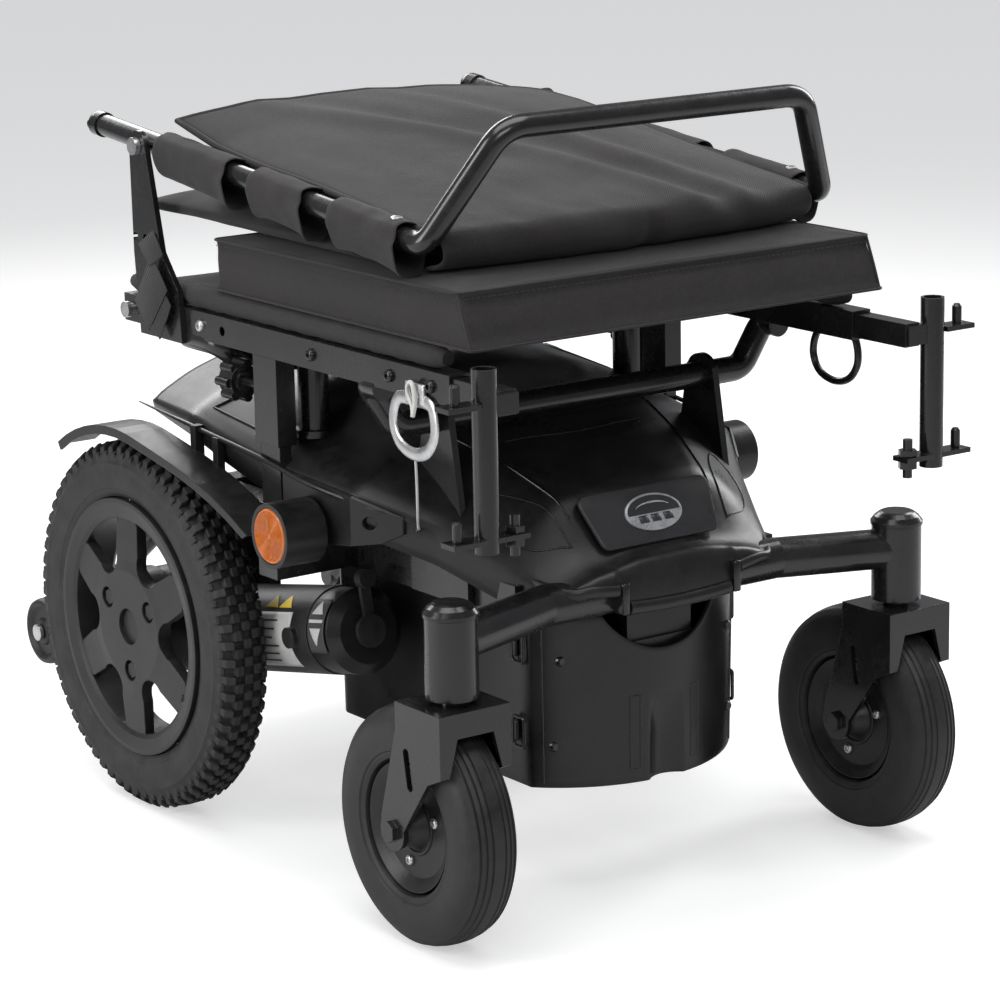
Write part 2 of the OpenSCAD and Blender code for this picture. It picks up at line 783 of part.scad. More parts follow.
module caster_fork(s) {
    color(paint) side(s) {
        difference() {
            union() {
                // crown
                translate([swivel_x - fork_in - fork_t, swivel_y - 30, crown_z])
                    cube([2 * (fork_in + fork_t), 60, crown_t]);
                // legs
                for (x = [-fork_in - fork_t, fork_in]) translate([swivel_x, 0, 0]) yz_plate(x, x + fork_t) {
                    polygon([
                        [swivel_y - 30, crown_z + crown_t], [swivel_y + 30, crown_z + crown_t],
                        [swivel_y + 30, crown_z - 16], [caster_y + 15, caster_r + 8],
                        [caster_y - 15, caster_r + 2], [swivel_y - 12, crown_z - 52], [swivel_y - 30, crown_z - 44]
                    ]);
                    translate([caster_y, caster_r]) circle(r = 16);
                }
                // front flange
                translate([swivel_x - fork_in - fork_t, swivel_y - 30, crown_z - 44])
                    cube([2 * (fork_in + fork_t), fork_t, 44 + eps]);
            }
            // trapezoid cut in the front flange
            translate([swivel_x, swivel_y - 32, 0]) rotate([90, 0, 0]) mirror([0, 0, 1])
                linear_extrude(height = 4 + fork_t) polygon([
                    [-fork_in + 3, crown_z - 50], [fork_in - 3, crown_z - 50],
                    [fork_in - 12, crown_z - 14], [-fork_in + 12, crown_z - 14]
                ]);
            // slots in the legs
            for (x = [-fork_in - fork_t - 1, fork_in - 1]) translate([swivel_x, 0, 0])
                yz_plate(x, x + fork_t + 2) translate([swivel_y + 14, crown_z - 46]) rotate([0, 0, 80]) {
                    translate([-13, 0]) circle(r = 4);
                    translate([13, 0]) circle(r = 4);
                    translate([-13, -4]) square([26, 8]);
                }
        }
        // stem and shoulder
        translate([swivel_x, swivel_y, crown_z + crown_t - eps]) {
            cylinder(d = stem_d + 8, h = housing_z + 1 - face_gap - crown_z - crown_t);
            cylinder(d = stem_d, h = housing_top - 0.8 - crown_z - crown_t);
        }
        // axle bolt
        translate([swivel_x, caster_y, caster_r]) {
            x_cyl(-fork_in - fork_t - 3, fork_in + fork_t + 3, axle_d / 2);
            for (x = [-fork_in - fork_t - 5, fork_in + fork_t - eps]) translate([x, 0, 0]) rotate([0, 90, 0])
                cylinder(r = 9, h = 5, $fn = 6);
        }
    }
}

module caster_rim(s) {
    h = fork_in - 0.6;
    color(plastic) wheel_turn(s, swivel_x, caster_y, caster_r) rotate_extrude() polygon([
        [axle_d / 2 + run_fit, -h], [11, -h], [13, -h + 5], [20, -12], [42, -12], [46, -15], [caster_rim_r, -19],
        [caster_rim_r, 19], [46, 15], [42, 12], [20, 12], [13, h - 5], [11, h], [axle_d / 2 + run_fit, h]
    ]);
}

module caster_tyre(s) {
    h = caster_w / 2;
    r = caster_r;
    i = caster_rim_r + 0.1;
    color(rubber) wheel_turn(s, swivel_x, caster_y, caster_r) rotate_extrude($fn = 96) polygon([
        [i, -18], [i + 5, -h + 3], [i + 14, -h + 0.5], [i + 22, -h], [r - 14, -h + 1], [r - 7, -h + 5], [r - 2.5, -h + 12],
        [r, -6], [r, 6], [r - 2.5, h - 12], [r - 7, h - 5], [r - 14, h - 1], [i + 22, h], [i + 14, h - 0.5],
        [i + 5, h - 3], [i, 18]
    ]);
}

// Anti-tip wheels ---------------------------------------------------------------------------

antitip_pin = 8;

module anti_tip_arms() {
    x_arm = antitip_x - antitip_w / 2 - 12;
    color(paint) both() {
        bent_rod([
            [frame_x, frame_rear + 1.3, frame_z - 20], [frame_x + 6, frame_rear + 60, frame_z - 26],
            [x_arm - 3, antitip_y - 60, antitip_z + 50], [x_arm, antitip_y, antitip_z]
        ], 30, 8, 16);
        translate([0, antitip_y, antitip_z]) x_cyl(x_arm - 8, x_arm + 8, 10);
        translate([0, antitip_y, antitip_z]) {
            x_cyl(x_arm, antitip_x + antitip_w / 2 + 5, antitip_pin / 2);
            x_cyl(antitip_x + antitip_w / 2 + 1, antitip_x + antitip_w / 2 + 5, 8);
        }
    }
}

module anti_tip_wheel(s) {
    h = antitip_w / 2;
    color(rubber) wheel_turn(s, antitip_x, antitip_y, antitip_z) rotate_extrude() polygon([
        [antitip_pin / 2 + run_fit, -h + 0.5], [12, -h + 0.5], [14, -h + 4], [antitip_r - 8, -h + 4],
        [antitip_r - 5, -h], [antitip_r - 1, -h + 3], [antitip_r, 0], [antitip_r - 1, h - 3], [antitip_r - 5, h],
        [antitip_r - 8, h - 4], [14, h - 4], [12, h - 0.5], [antitip_pin / 2 + run_fit, h - 0.5]
    ]);
}

// Seat ---------------------------------------------------------------------------------------

rail_hole_y = axle_y - 134;
plate_hole_y = axle_y - 43;
rear_bolt_y = rail_rear - 16;

module seat_rails() {
    w = rail_w;
    color(paint) both() difference() {
        translate([rail_x - w / 2, rail_front, rail_z]) cube([w, rail_len, rail_h]);
        translate([rail_x - w / 2 + rail_wall, rail_front - 1, rail_z + rail_wall])
            cube([w - 2 * rail_wall, rail_len + 2, rail_h - 2 * rail_wall]);
        for (y = [rail_hole_y, plate_hole_y, rear_bolt_y])
            translate([0, y, rail_z + rail_h / 2]) x_cyl(rail_x - w, rail_x + w, 4.2);
    }
}

// One U-shaped cross tube: straight in the middle, both ends bent up to the rails
module u_tube(y, z, dy) {
    top = rail_z - 2;
    bent_rod(
        [[-rail_x, y + dy, top], [-tube_half, y, z], [tube_half, y, z], [rail_x, y + dy, top]],
        28, seat_tube_d / 2, 20
    );
}

module seat_cross_tubes() {
    color(paint) {
        difference() {
            union() {
                u_tube(front_tube_y, front_tube_z, -22);
                u_tube(rear_tube_y, rear_tube_z, 50);
            }
            // the ends are cut flat against the rails
            translate([-300, rail_front, rail_z - face_gap]) cube([600, rail_len, 60]);
        }
    }
}

module seat_cross_bars() {
    // flat straps between the rails
    inner = rail_x - rail_w / 2 - face_gap;
    color(paint) for (y = [front_tube_y + 60, sleeve_y - 12, sleeve_y + 60])
        translate([-inner, y, rail_z + 2]) cube([2 * inner, 24, 5]);
}

module seat_front_brackets() {
    lug = seat_tube_d / 2 + 0.2;
    color(paint) both() difference() {
        yz_plate(gusset_x - gusset_t / 2, gusset_x + gusset_t / 2) {
            polygon([
                [front_tube_y - 40, frame_z + 2], [front_tube_y + 40, frame_z + 2], [front_tube_y + 40, frame_z + frame_h],
                [front_tube_y + 17, front_tube_z + 8], [front_tube_y - 17, front_tube_z + 8],
                [front_tube_y - 40, frame_z + frame_h]
            ]);
            translate([front_tube_y, front_tube_z]) circle(r = 18);
        }
        translate([0, front_tube_y, front_tube_z]) x_cyl(gusset_x - 10, gusset_x + 10, lug);
        translate([0, front_tube_y, frame_z + 70]) x_cyl(gusset_x - 10, gusset_x + 10, 16);
    }
}

module seat_posts() {
    // round posts from the chassis up to the middle cross strap, with flanges
    z0 = frame_z + frame_h - 4 + face_gap;
    z1 = rail_z + 2 - face_gap;
    color(paint) both() translate([seat_post_x, seat_post_y, 0]) {
        translate([0, 0, z0]) cylinder(r = 13, h = z1 - z0);
        translate([0, 0, z0]) cylinder(r = 18, h = 5);
        translate([0, 0, z1 - 5]) cylinder(r = 17, h = 5);
        translate([0, 0, z0 + 92]) cylinder(r = 17, h = 6);
    }
}

module seat_post_sleeves() {
    // outer tube under each rail, inner post below it, clamped from behind
    w = sleeve_w;
    l = sleeve_len;
    color(paint) both() {
        difference() {
            translate([rail_x - w / 2, sleeve_y - l / 2, sleeve_z]) cube([w, l, rail_z - face_gap - sleeve_z]);
            translate([rail_x - w / 2 + sleeve_wall, sleeve_y - l / 2 + sleeve_wall, sleeve_z - 1])
                cube([w - 2 * sleeve_wall, l - 2 * sleeve_wall, rail_z - sleeve_z + 10]);
            translate([rail_x, 0, clamp_z]) y_cyl(sleeve_y, sleeve_y + l, 4 + run_fit);
        }
        // inner post that stands on the chassis outrigger
        translate([rail_x - w / 2 + sleeve_wall + face_gap, sleeve_y - l / 2 + sleeve_wall + face_gap, frame_z + frame_h - 4 + face_gap])
            cube([w - 2 * sleeve_wall - 2 * face_gap, l - 2 * sleeve_wall - 2 * face_gap, clamp_z + 12 - frame_z - frame_h + 4]);
    }
}

module clamp_knob(s) {
    y0 = sleeve_y + sleeve_len / 2 - sleeve_wall;
    color(plastic) side(s) translate([rail_x, 0, clamp_z]) {
        y_cyl(y0 + face_gap, clamp_y - 8, 4);
        y_cyl(clamp_y - 12, clamp_y - 10 + eps, 9);
        y_cyl(clamp_y - 10, clamp_y + 10, 14);
        for (i = [0 : 6]) rotate([0, 360 * i / 7, 0]) translate([14.5, 0, 0]) y_cyl(clamp_y - 9, clamp_y + 9, 4);
    }
}

module seat_sling() {
    // fabric deck between the rails, rolled over a rod along each rail
    r = roll_d / 2;
    z = rail_top + face_gap + r;
    half = rail_x - 1;
    y0 = rail_front + 16;
    color(cloth) {
        both() translate([half, 0, z]) {
            y_cyl(y0, rail_rear - 2, r);
            translate([0, rail_rear - 2, 0]) sphere(r = r);
        }
        translate([-half, y0 + 20, z + r - 3]) cube([2 * half, rail_len - 70, 3]);
    }
}

module seat_cushion() {
    h = cushion_h;
    w = cushion_w / 2;
    color(cloth) yz_plate(-w, w) polygon([
        [cushion_front, cushion_z], [cushion_front + cushion_len, cushion_z],
        [cushion_front + cushion_len, cushion_z + h], [cushion_front + cushion_lean, cushion_z + h]
    ]);
}

module back_plates() {
    x0 = plate_x;
    low = rail_z - 6;
    color(paint) both() difference() {
        yz_plate(x0, x0 + plate_t) {
            translate([pivot_y, pivot_z]) circle(r = 13);
            polygon([
                [pivot_y - 13, pivot_z], [pivot_y + 13, pivot_z], [pivot_y + 12, rail_top + 40], [pivot_y + 6, low],
                [plate_hole_y - 34, low], [plate_hole_y - 30, rail_top + 14], [pivot_y - 34, rail_top + 44]
            ]);
        }
        translate([0, pivot_y, pivot_z]) x_cyl(x0 - 1, x0 + plate_t + 1, pivot_bolt_d / 2 + 0.1);
        // latch holes, a cane length behind the pivot swung down
        for (i = [0 : 3]) translate([0, pivot_y + latch_r * sin(-18 + 12 * i), pivot_z - latch_r * cos(-18 + 12 * i)])
            x_cyl(x0 - 1, x0 + plate_t + 1, 4);
        for (y = [plate_hole_y, rear_bolt_y]) translate([0, y, rail_z + rail_h / 2])
            x_cyl(x0 - 1, x0 + plate_t + 1, 4.2);
    }
}

latch_r = cane_tail - 14;

module back_pivot_bolts() {
    r = pivot_bolt_d / 2;
    x_in = cane_x - cane_d / 2 - 4;
    x_out = plate_x + plate_t + face_gap;
    color(zinc) both() {
        translate([0, pivot_y, pivot_z]) {
            x_cyl(x_in - 4, x_out, r);
            x_cyl(x_out - eps, x_out + 5, r + 3.5);
            x_cyl(x_in - 6, x_in, r + 3);
        }
        // bolts that hold each plate to its rail
        for (y = [plate_hole_y, rear_bolt_y]) translate([0, y, rail_z + rail_h / 2]) {
            x_cyl(rail_x - rail_w / 2 - 4, x_out, 4);
            x_cyl(x_out - eps, x_out + 4, 7);
            x_cyl(rail_x - rail_w / 2 - 6, rail_x - rail_w / 2 - face_gap, 7);
        }
    }
}

module belt_webbing() {
    // lap-belt end folded round the lower plate bolt
    x0 = plate_x + plate_t + 5;
    y = plate_hole_y;
    color(cloth) both() yz_plate(x0, x0 + 4) polygon([
        [y - 28, rail_top + 2], [y - 6, rail_z - 6], [y + 22, rail_top + 6], [y + 4, rail_top + 42], [y - 16, rail_top + 30]
    ]);
}

// Tie-down plates on the rails ------------------------------------------------------------------

module tie_down_plates() {
    y = rail_front + 50;
    x0 = rail_x + rail_w / 2 + face_gap;
    color(zinc) both() difference() {
        yz_plate(x0, x0 + 4) {
            polygon([
                [y - 44, rail_z + 6], [y + 20, rail_z + 6], [y + 26, rail_z - 20], [y + 22, rail_z - 36],
                [y + 8, rail_z - 44], [y - 20, rail_z - 44], [y - 38, rail_z - 32]
            ]);
            translate([y - 8, rail_z + 6]) square([14, 14]);
        }
        translate([0, y - 8, rail_z - 18]) x_cyl(x0 - 1, x0 + 5, 17);
        translate([x0 - 1, y - 25, rail_z - 18]) cube([6, 34, 12]);
    }
}

// Hanger posts -----------------------------------------------------------------------------------

module hanger_posts() {
    r = post_d / 2;
    color(paint) both() {
        difference() {
            union() {
                translate([post_x, post_y, post_z]) cylinder(r = r, h = post_h);
                // stub to the rail with its gusset
                translate([rail_x - rail_w / 2 + rail_wall + face_gap, post_y, rail_z + rail_wall + face_gap])
                    cube([rail_w - 2 * rail_wall - 2 * face_gap, 110, rail_h - 2 * rail_wall - 2 * face_gap]);
                translate([rail_x - rail_w / 2 + 3, post_y - 4, rail_z + 4]) cube([post_x - rail_x + rail_w / 2 - 3, 8, rail_h - 8]);
            }
            translate([post_x, post_y, post_z - 1]) cylinder(r = r - 2, h = post_h + 2);
        }
        // upper and lower bracket plates that carry the hanger pins
        translate([post_x + r - 1, post_y - 9, post_z + 112]) cube([30, 18, 4]);
        difference() {
            translate([post_x - 34, post_y - 9, post_z + 8]) cube([70, 18, 4]);
            translate([post_x, post_y, post_z]) cylinder(r = r - eps, h = 20);
            translate([post_x - 26, post_y, post_z]) cylinder(r = 4.2, h = 20);
        }
    }
}

module hanger_pins() {
    r = pin_d / 2;
    top = post_z + 116;
    low = post_z + 12;
    color(paint) both() {
        for (z = [top, low]) translate([post_x + 27, post_y, z + face_gap]) {
            cylinder(r = r, h = 14);
            translate([0, 0, 14 - eps]) cylinder(r1 = r, r2 = r - 1.5, h = 2);
        }
        // adjustable stop bolt with its head and nut
        translate([post_x - 26, post_y, 0]) {
            translate([0, 0, low - 18]) cylinder(r = 4, h = 32);
            translate([0, 0, low - 4 - 6 - face_gap]) cylinder(r = 8, h = 6, $fn = 6);
            translate([0, 0, low + face_gap]) cylinder(r = 8, h = 5, $fn = 6);
        }
    }
}

// Backrest -------------------------------------------------------------------------------------------

bar_plane = 16;      // lean of the hoop's plane towards the front
bar_in = 51;         // how far each leg leans inwards
bar_bend = 32;       // centreline radius of the hoop's bends

module back_canes() {
    r = cane_d / 2;
    color(paint) difference() {
        on_cane() both() translate([cane_x, 0, 0]) y_cyl(-cane_front + 26, cane_tail - 8, r);
        both() translate([0, pivot_y, pivot_z]) x_cyl(cane_x - 20, cane_x + 20, pivot_bolt_d / 2 + run_fit);
    }
}

module cane_end_caps() {
    r = cane_d / 2 + 1.5;
    color(plastic) on_cane() both() difference() {
        translate([cane_x, 0, 0]) {
            y_cyl(cane_tail - 8 + face_gap, cane_tail + 3, r);
            translate([0, cane_tail + 3, 0]) sphere(r = r);
        }
        translate([cane_x, 0, 0]) y_cyl(0, cane_tail - 8 + face_gap, r + 5);
        translate([0, cane_tail + 2, 0]) x_cyl(cane_x - 20, cane_x + 20, 3.5);
    }
}

// A point of the push-bar hoop, in its leaning plane
function hoop(x, h) = [x, -h * sin(bar_plane), h * cos(bar_plane)];

module push_bar() {
    // hoop that plugs into the canes' front ends and rises over the folded back
    x = cane_x - bar_in;
    color(paint) on_cane() translate([0, -cane_front, 0]) bent_rod([
        [cane_x, 26 - face_gap, 0], [cane_x, 0, 0], hoop(x, bar_rise),
        hoop(-x, bar_rise), [-cane_x, 0, 0], [-cane_x, 26 - face_gap, 0]
    ], bar_bend, cane_d / 2, 20);
}

module back_panel() {
    // loose flap of the back upholstery, lying on top
    color(cloth) on_cane() translate([-cane_x + 14, -cane_front + 60, cane_d / 2])
        cube([2 * cane_x - 28, cane_front - 95, 17]);
}

module back_upholstery() {
    // folded back cover and padding between and below the canes
    top = cane_d / 2 - 0.5;
    y0 = -cane_front + 44;
    z_low = cushion_z + cushion_h + 3 - pivot_z;
    half = cane_x - cane_d / 2 - 4 - face_gap;
    color(cloth) translate([0, pivot_y, pivot_z]) yz_plate(-half, half) polygon([
        [y0, z_low], [-24, z_low], [-24, -24 * sin(fold_slope) + top], [y0, y0 * sin(fold_slope) + top]
    ]);
}

module cane_sleeves() {
    // fabric loops that hold the cover on the canes
    r = cane_d / 2;
    color(cloth) on_cane() both() for (seg = [[-cane_front + 52, 100], [-cane_front + 168, 92], [-cane_front + 276, 96]])
        translate([cane_x, 0, 0]) difference() {
            y_cyl(seg[0], seg[0] + seg[1], r + 4);
            y_cyl(seg[0] - 1, seg[0] + seg[1] + 1, r + 0.4);
        }
}

// -------------------------------------------------------------------------------------------------------

chassis_frame();
front_cross_tube();
housing_caps();
caster_bearings();
batteries();
battery_box();
battery_box_handle();
battery_box_clips();
hood();
hood_front_panel();
badge();
hood_clips();
side_covers();
fenders();
reflector_housings();
reflector_lenses();
motors();
gearboxes();
brake_covers();
power_module();
rear_wire_loops();
anti_tip_arms();
seat_rails();
seat_cross_tubes();
seat_cross_bars();
seat_front_brackets();
seat_posts();
seat_post_sleeves();
seat_sling();
seat_cushion();
back_plates();
back_pivot_bolts();
tie_down_plates();
hanger_posts();
hanger_pins();
belt_webbing();
drive_rim(-1);  // drive_rim_right
drive_tyre(-1);  // drive_tyre_right
drive_hub(-1);  // drive_hub_right
drive_rim(1);  // drive_rim_left
drive_tyre(1);  // drive_tyre_left
drive_hub(1);  // drive_hub_left
caster_fork(-1);  // caster_fork_right
caster_rim(-1);  // caster_rim_right
caster_tyre(-1);  // caster_tyre_right
caster_fork(1);  // caster_fork_left
caster_rim(1);  // caster_rim_left
caster_tyre(1);  // caster_tyre_left
back_canes();
push_bar();
cane_end_caps();
back_panel();
back_upholstery();
cane_sleeves();
side(-1) brake_lever();  // brake_lever_right
brake_lever();  // brake_lever_left
clamp_knob(-1);  // clamp_knob_right
clamp_knob(1);  // clamp_knob_left
anti_tip_wheel(-1);  // anti_tip_wheel_right
anti_tip_wheel(1);  // anti_tip_wheel_left
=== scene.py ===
import logging
import math
from dataclasses import dataclass
from enum import Enum
from typing import Callable, Sequence

import bmesh
import bpy
import numpy as np
from mathutils import Matrix, Vector, noise


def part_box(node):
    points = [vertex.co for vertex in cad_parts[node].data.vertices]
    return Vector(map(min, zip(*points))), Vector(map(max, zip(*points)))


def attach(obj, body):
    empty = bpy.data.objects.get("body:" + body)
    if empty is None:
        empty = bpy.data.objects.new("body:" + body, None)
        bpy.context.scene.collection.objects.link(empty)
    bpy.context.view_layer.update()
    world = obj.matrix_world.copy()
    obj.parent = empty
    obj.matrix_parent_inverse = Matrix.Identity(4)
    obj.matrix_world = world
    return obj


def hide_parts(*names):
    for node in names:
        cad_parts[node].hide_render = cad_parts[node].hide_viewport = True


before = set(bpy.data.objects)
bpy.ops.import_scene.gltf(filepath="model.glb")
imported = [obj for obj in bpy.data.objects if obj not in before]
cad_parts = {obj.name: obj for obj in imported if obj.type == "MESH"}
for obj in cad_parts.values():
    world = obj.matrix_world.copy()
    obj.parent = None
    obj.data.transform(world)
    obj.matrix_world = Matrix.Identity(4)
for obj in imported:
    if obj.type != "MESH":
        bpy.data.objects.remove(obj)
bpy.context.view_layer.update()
log = logging.getLogger("wheelchair")

Thing = bpy.types.Object
Tree = bpy.types.NodeTree
Socket = bpy.types.NodeSocket
Point = Sequence[float]
Ring = list[Vector]
SIDES: dict[str, int] = {"right": -1, "left": 1}
TAU = 2 * math.pi
TINY = 1e-6  # points closer than this are one point, in metres
ALL_SMOOTH = 3.2  # shading angle that keeps no edge sharp, in radians
SLOPE = math.radians(5.6)  # how far the folded backrest leans from level


class Axis(Enum):
    """The direction a turned piece or a ring of copies faces."""

    X = Vector((1, 0, 0))
    Y = Vector((0, 1, 0))
    Z = Vector((0, 0, 1))


class Surface(Enum):
    """How a finish breaks up the surface under the light."""

    SMOOTH = "smooth"
    GRAIN = "grain"
    WEAVE = "weave"
    RIB = "rib"


# Shader groups ----------------------------------------------------------------


class NodeBench:
    """Short calls for laying out shader or geometry nodes in one tree."""

    def __init__(self, tree: Tree) -> None:
        """Keeps the tree that the nodes go in."""
        self.tree = tree

    def add(self, kind: str, links: dict | None = None, **settings: object) -> bpy.types.Node:
        """Adds a node.

        Args:
            kind: Blender's name of the node type.
            links: input name or index to a socket or a plain value.
            **settings: attributes of the node.

        Returns:
            The new node.
        """
        node = self.tree.nodes.new(kind)
        for key, value in settings.items():
            setattr(node, key, value)
        self.feed(node, links or {})
        return node

    def feed(self, node: bpy.types.Node, links: dict) -> None:
        """Links or sets a node's inputs, by name or index."""
        for key, value in links.items():
            if isinstance(value, Socket):
                self.tree.links.new(value, node.inputs[key])
            else:
                node.inputs[key].default_value = value

    def math(self, op: str, a: object, b: object = 0.0, c: object = 0.0) -> Socket:
        """Adds a Math node and returns its result socket."""
        return self.add("ShaderNodeMath", {0: a, 1: b, 2: c}, operation=op).outputs[0]

    def mix(self, fac: object, a: object, b: object) -> Socket:
        """Mixes two colours by fac and returns the colour socket."""
        return self.add("ShaderNodeMix", {0: fac, 6: a, 7: b}, data_type="RGBA").outputs[2]

    def ramp(self, value: object, lo: float, hi: float) -> Socket:
        """Stretches value from lo..hi to 0..1, clamped, and returns it."""
        return self.add("ShaderNodeMapRange", {0: value, 1: lo, 2: hi}).outputs[0]


def new_group(name: str, inputs: dict[str, tuple[str, object]], outputs: dict[str, str],
        kind: str = "ShaderNodeTree") -> tuple[NodeBench, bpy.types.Node, bpy.types.Node]:
    """Starts a node group with named sockets.

    Args:
        name: the group's name.
        inputs: socket name to its type word and default value, or None.
        outputs: socket name to its type word.
        kind: Blender's name of the tree type.

    Returns:
        The bench for the group's tree, its input node and its output node.
    """
    tree = bpy.data.node_groups.new(name, kind)
    for label, (word, value) in inputs.items():
        socket = tree.interface.new_socket(label, in_out="INPUT", socket_type="NodeSocket" + word)
        if value is not None:
            socket.default_value = value
    for label, word in outputs.items():
        tree.interface.new_socket(label, in_out="OUTPUT", socket_type="NodeSocket" + word)
    bench = NodeBench(tree)
    return bench, bench.add("NodeGroupInput"), bench.add("NodeGroupOutput")


class ShaderKit:
    """The effects that several finishes share, each one group built once."""

    def __init__(self) -> None:
        """Builds every group."""
        self.mottle = self._mottle()
        self.edge = self._edge()
        self.dust = self._dust()
        self.grain = self._grain()
        self.weave = self._weave()
        self.rib = self._rib()

    @staticmethod
    def _mottle() -> Tree:
        """Soft colour variation in two sizes. Returns the group."""
        b, i, o = new_group("mottle", {"Color": ("Color", (0, 0, 0, 1)), "Color2": ("Color", (0, 0, 0, 1)),
            "Scale": ("Float", 20.0)}, {"Color": "Color", "Fac": "Float"})
        at = b.add("ShaderNodeTexCoord").outputs["Object"]
        big = b.add("ShaderNodeTexNoise", {"Vector": at, "Scale": i.outputs["Scale"], "Detail": 4.0}).outputs[0]
        small = b.add("ShaderNodeTexNoise", {"Vector": at, "Scale": b.math("MULTIPLY", i.outputs["Scale"], 9.0),
            "Detail": 2.0}).outputs[0]
        fac = b.ramp(b.math("ADD", b.math("MULTIPLY", big, 0.7), b.math("MULTIPLY", small, 0.3)), 0.36, 0.64)
        b.tree.links.new(fac, o.inputs["Fac"])
        b.tree.links.new(b.mix(fac, i.outputs["Color"], i.outputs["Color2"]), o.inputs["Color"])
        return b.tree

    @staticmethod
    def _edge() -> Tree:
        """Softened edges and a mask of where they rub bare. Returns the group."""
        b, i, o = new_group("edge_wear", {"Radius": ("Float", 0.001), "Wear": ("Float", 0.5),
            "Scale": ("Float", 60.0)}, {"Mask": "Float", "Normal": "Vector"})
        soft = b.add("ShaderNodeBevel", {"Radius": i.outputs["Radius"]}, samples=4).outputs[0]
        true = b.add("ShaderNodeNewGeometry").outputs["Normal"]
        bend = b.math("SUBTRACT", 1.0, b.add("ShaderNodeVectorMath", {0: soft, 1: true},
            operation="DOT_PRODUCT").outputs["Value"])
        at = b.add("ShaderNodeTexCoord").outputs["Object"]
        rub = b.add("ShaderNodeTexNoise", {"Vector": at, "Scale": i.outputs["Scale"], "Detail": 5.0}).outputs[0]
        mask = b.math("MULTIPLY", b.ramp(bend, 0.03, 0.2),
            b.math("MULTIPLY", b.ramp(rub, 0.42, 0.62), i.outputs["Wear"]))
        b.tree.links.new(mask, o.inputs["Mask"])
        b.tree.links.new(soft, o.inputs["Normal"])
        return b.tree

    @staticmethod
    def _dust() -> Tree:
        """Pale dust that settles on what faces up and in the noise's hollows. Returns the group."""
        b, i, o = new_group("dust", {"Color": ("Color", (0, 0, 0, 1)), "Dust": ("Color", (0.2, 0.19, 0.18, 1)),
            "Amount": ("Float", 0.1)}, {"Color": "Color", "Mask": "Float"})
        co = b.add("ShaderNodeTexCoord")
        up = b.ramp(b.add("ShaderNodeSeparateXYZ", {0: co.outputs["Normal"]}).outputs[2], -0.2, 1.0)
        speck = b.ramp(b.add("ShaderNodeTexNoise", {"Vector": co.outputs["Object"], "Scale": 45.0,
            "Detail": 8.0, "Roughness": 0.7}).outputs[0], 0.4, 0.75)
        mask = b.math("MULTIPLY", b.math("MULTIPLY", b.math("ADD", up, 0.35), speck), i.outputs["Amount"])
        b.tree.links.new(mask, o.inputs["Mask"])
        b.tree.links.new(b.mix(mask, i.outputs["Color"], i.outputs["Dust"]), o.inputs["Color"])
        return b.tree

    @staticmethod
    def _grain() -> Tree:
        """Height of a moulded leather-like grain. Returns the group."""
        b, i, o = new_group("grain", {"Scale": ("Float", 900.0)}, {"Height": "Float"})
        at = b.add("ShaderNodeTexCoord").outputs["Object"]
        cell = b.add("ShaderNodeTexVoronoi", {"Vector": at, "Scale": i.outputs["Scale"]},
                     feature="SMOOTH_F1").outputs["Distance"]
        fine = b.add("ShaderNodeTexNoise", {"Vector": at, "Scale": b.math("MULTIPLY", i.outputs["Scale"], 0.6),
            "Detail": 3.0}).outputs[0]
        b.tree.links.new(b.math("ADD", cell, b.math("MULTIPLY", fine, 0.8)), o.inputs["Height"])
        return b.tree

    @staticmethod
    def _weave() -> Tree:
        """Over-and-under threads seen flat on from each of the three axes, with a tone that is partly the
        yarn's random slub and partly a painted highlight on each thread's crest. Returns the group.
        """
        b, i, o = new_group("weave", {"Pitch": ("Float", 0.0016)}, {"Height": "Float", "slub_tone_and_crest_highlight": "Float"})
        co = b.add("ShaderNodeTexCoord")
        p = b.add("ShaderNodeSeparateXYZ", {0: co.outputs["Object"]}).outputs
        n = [b.math("ABSOLUTE", s) for s in b.add("ShaderNodeSeparateXYZ", {0: co.outputs["Normal"]}).outputs]
        from_side = b.math("GREATER_THAN", n[0], b.math("MAXIMUM", n[1], n[2]))
        from_top = b.math("GREATER_THAN", n[2], 0.6)
        u = b.add("ShaderNodeMix", {0: from_side, 2: p[0], 3: p[1]}).outputs[0]
        v = b.add("ShaderNodeMix", {0: from_top, 2: p[2], 3: p[1]}).outputs[0]
        v = b.add("ShaderNodeMix", {0: b.math("MULTIPLY", from_side, from_top), 2: v, 3: p[2]}).outputs[0]
        rate = b.math("DIVIDE", math.pi, i.outputs["Pitch"])
        su, sv = (b.math("SINE", b.math("MULTIPLY", t, rate)) for t in (u, v))
        over = b.math("GREATER_THAN", b.math("MULTIPLY", su, sv), 0.0)
        au, av = b.math("ABSOLUTE", su), b.math("ABSOLUTE", sv)
        height = b.add("ShaderNodeMix", {0: over, 2: au, 3: av}).outputs[0]
        slub = b.add("ShaderNodeTexNoise", {"Vector": co.outputs["Object"], "Scale": 260.0,
            "Detail": 3.0}).outputs[0]
        b.tree.links.new(b.math("ADD", height, b.math("MULTIPLY", slub, 0.5)), o.inputs["Height"])
        # painted highlight: lighter along each raised thread's crest and dark in the gaps between threads,
        # gated by the random slub noise
        b.tree.links.new(b.math("MULTIPLY", b.ramp(slub, 0.3, 0.7), height), o.inputs["slub_tone_and_crest_highlight"])
        return b.tree

    @staticmethod
    def _rib() -> Tree:
        """Fine lengthwise ribs, as on belt webbing, along the piece's UV. Returns the group."""
        b, i, o = new_group("rib", {"Pitch": ("Float", 0.0022)}, {"Height": "Float"})
        uv = b.add("ShaderNodeSeparateXYZ", {0: b.add("ShaderNodeTexCoord").outputs["UV"]}).outputs
        rate = b.math("DIVIDE", math.pi, i.outputs["Pitch"])
        su, sv = (b.math("ABSOLUTE", b.math("SINE", b.math("MULTIPLY", t, rate))) for t in (uv[0], uv[1]))
        b.tree.links.new(b.math("ADD", su, b.math("MULTIPLY", sv, 0.35)), o.inputs["Height"])
        return b.tree


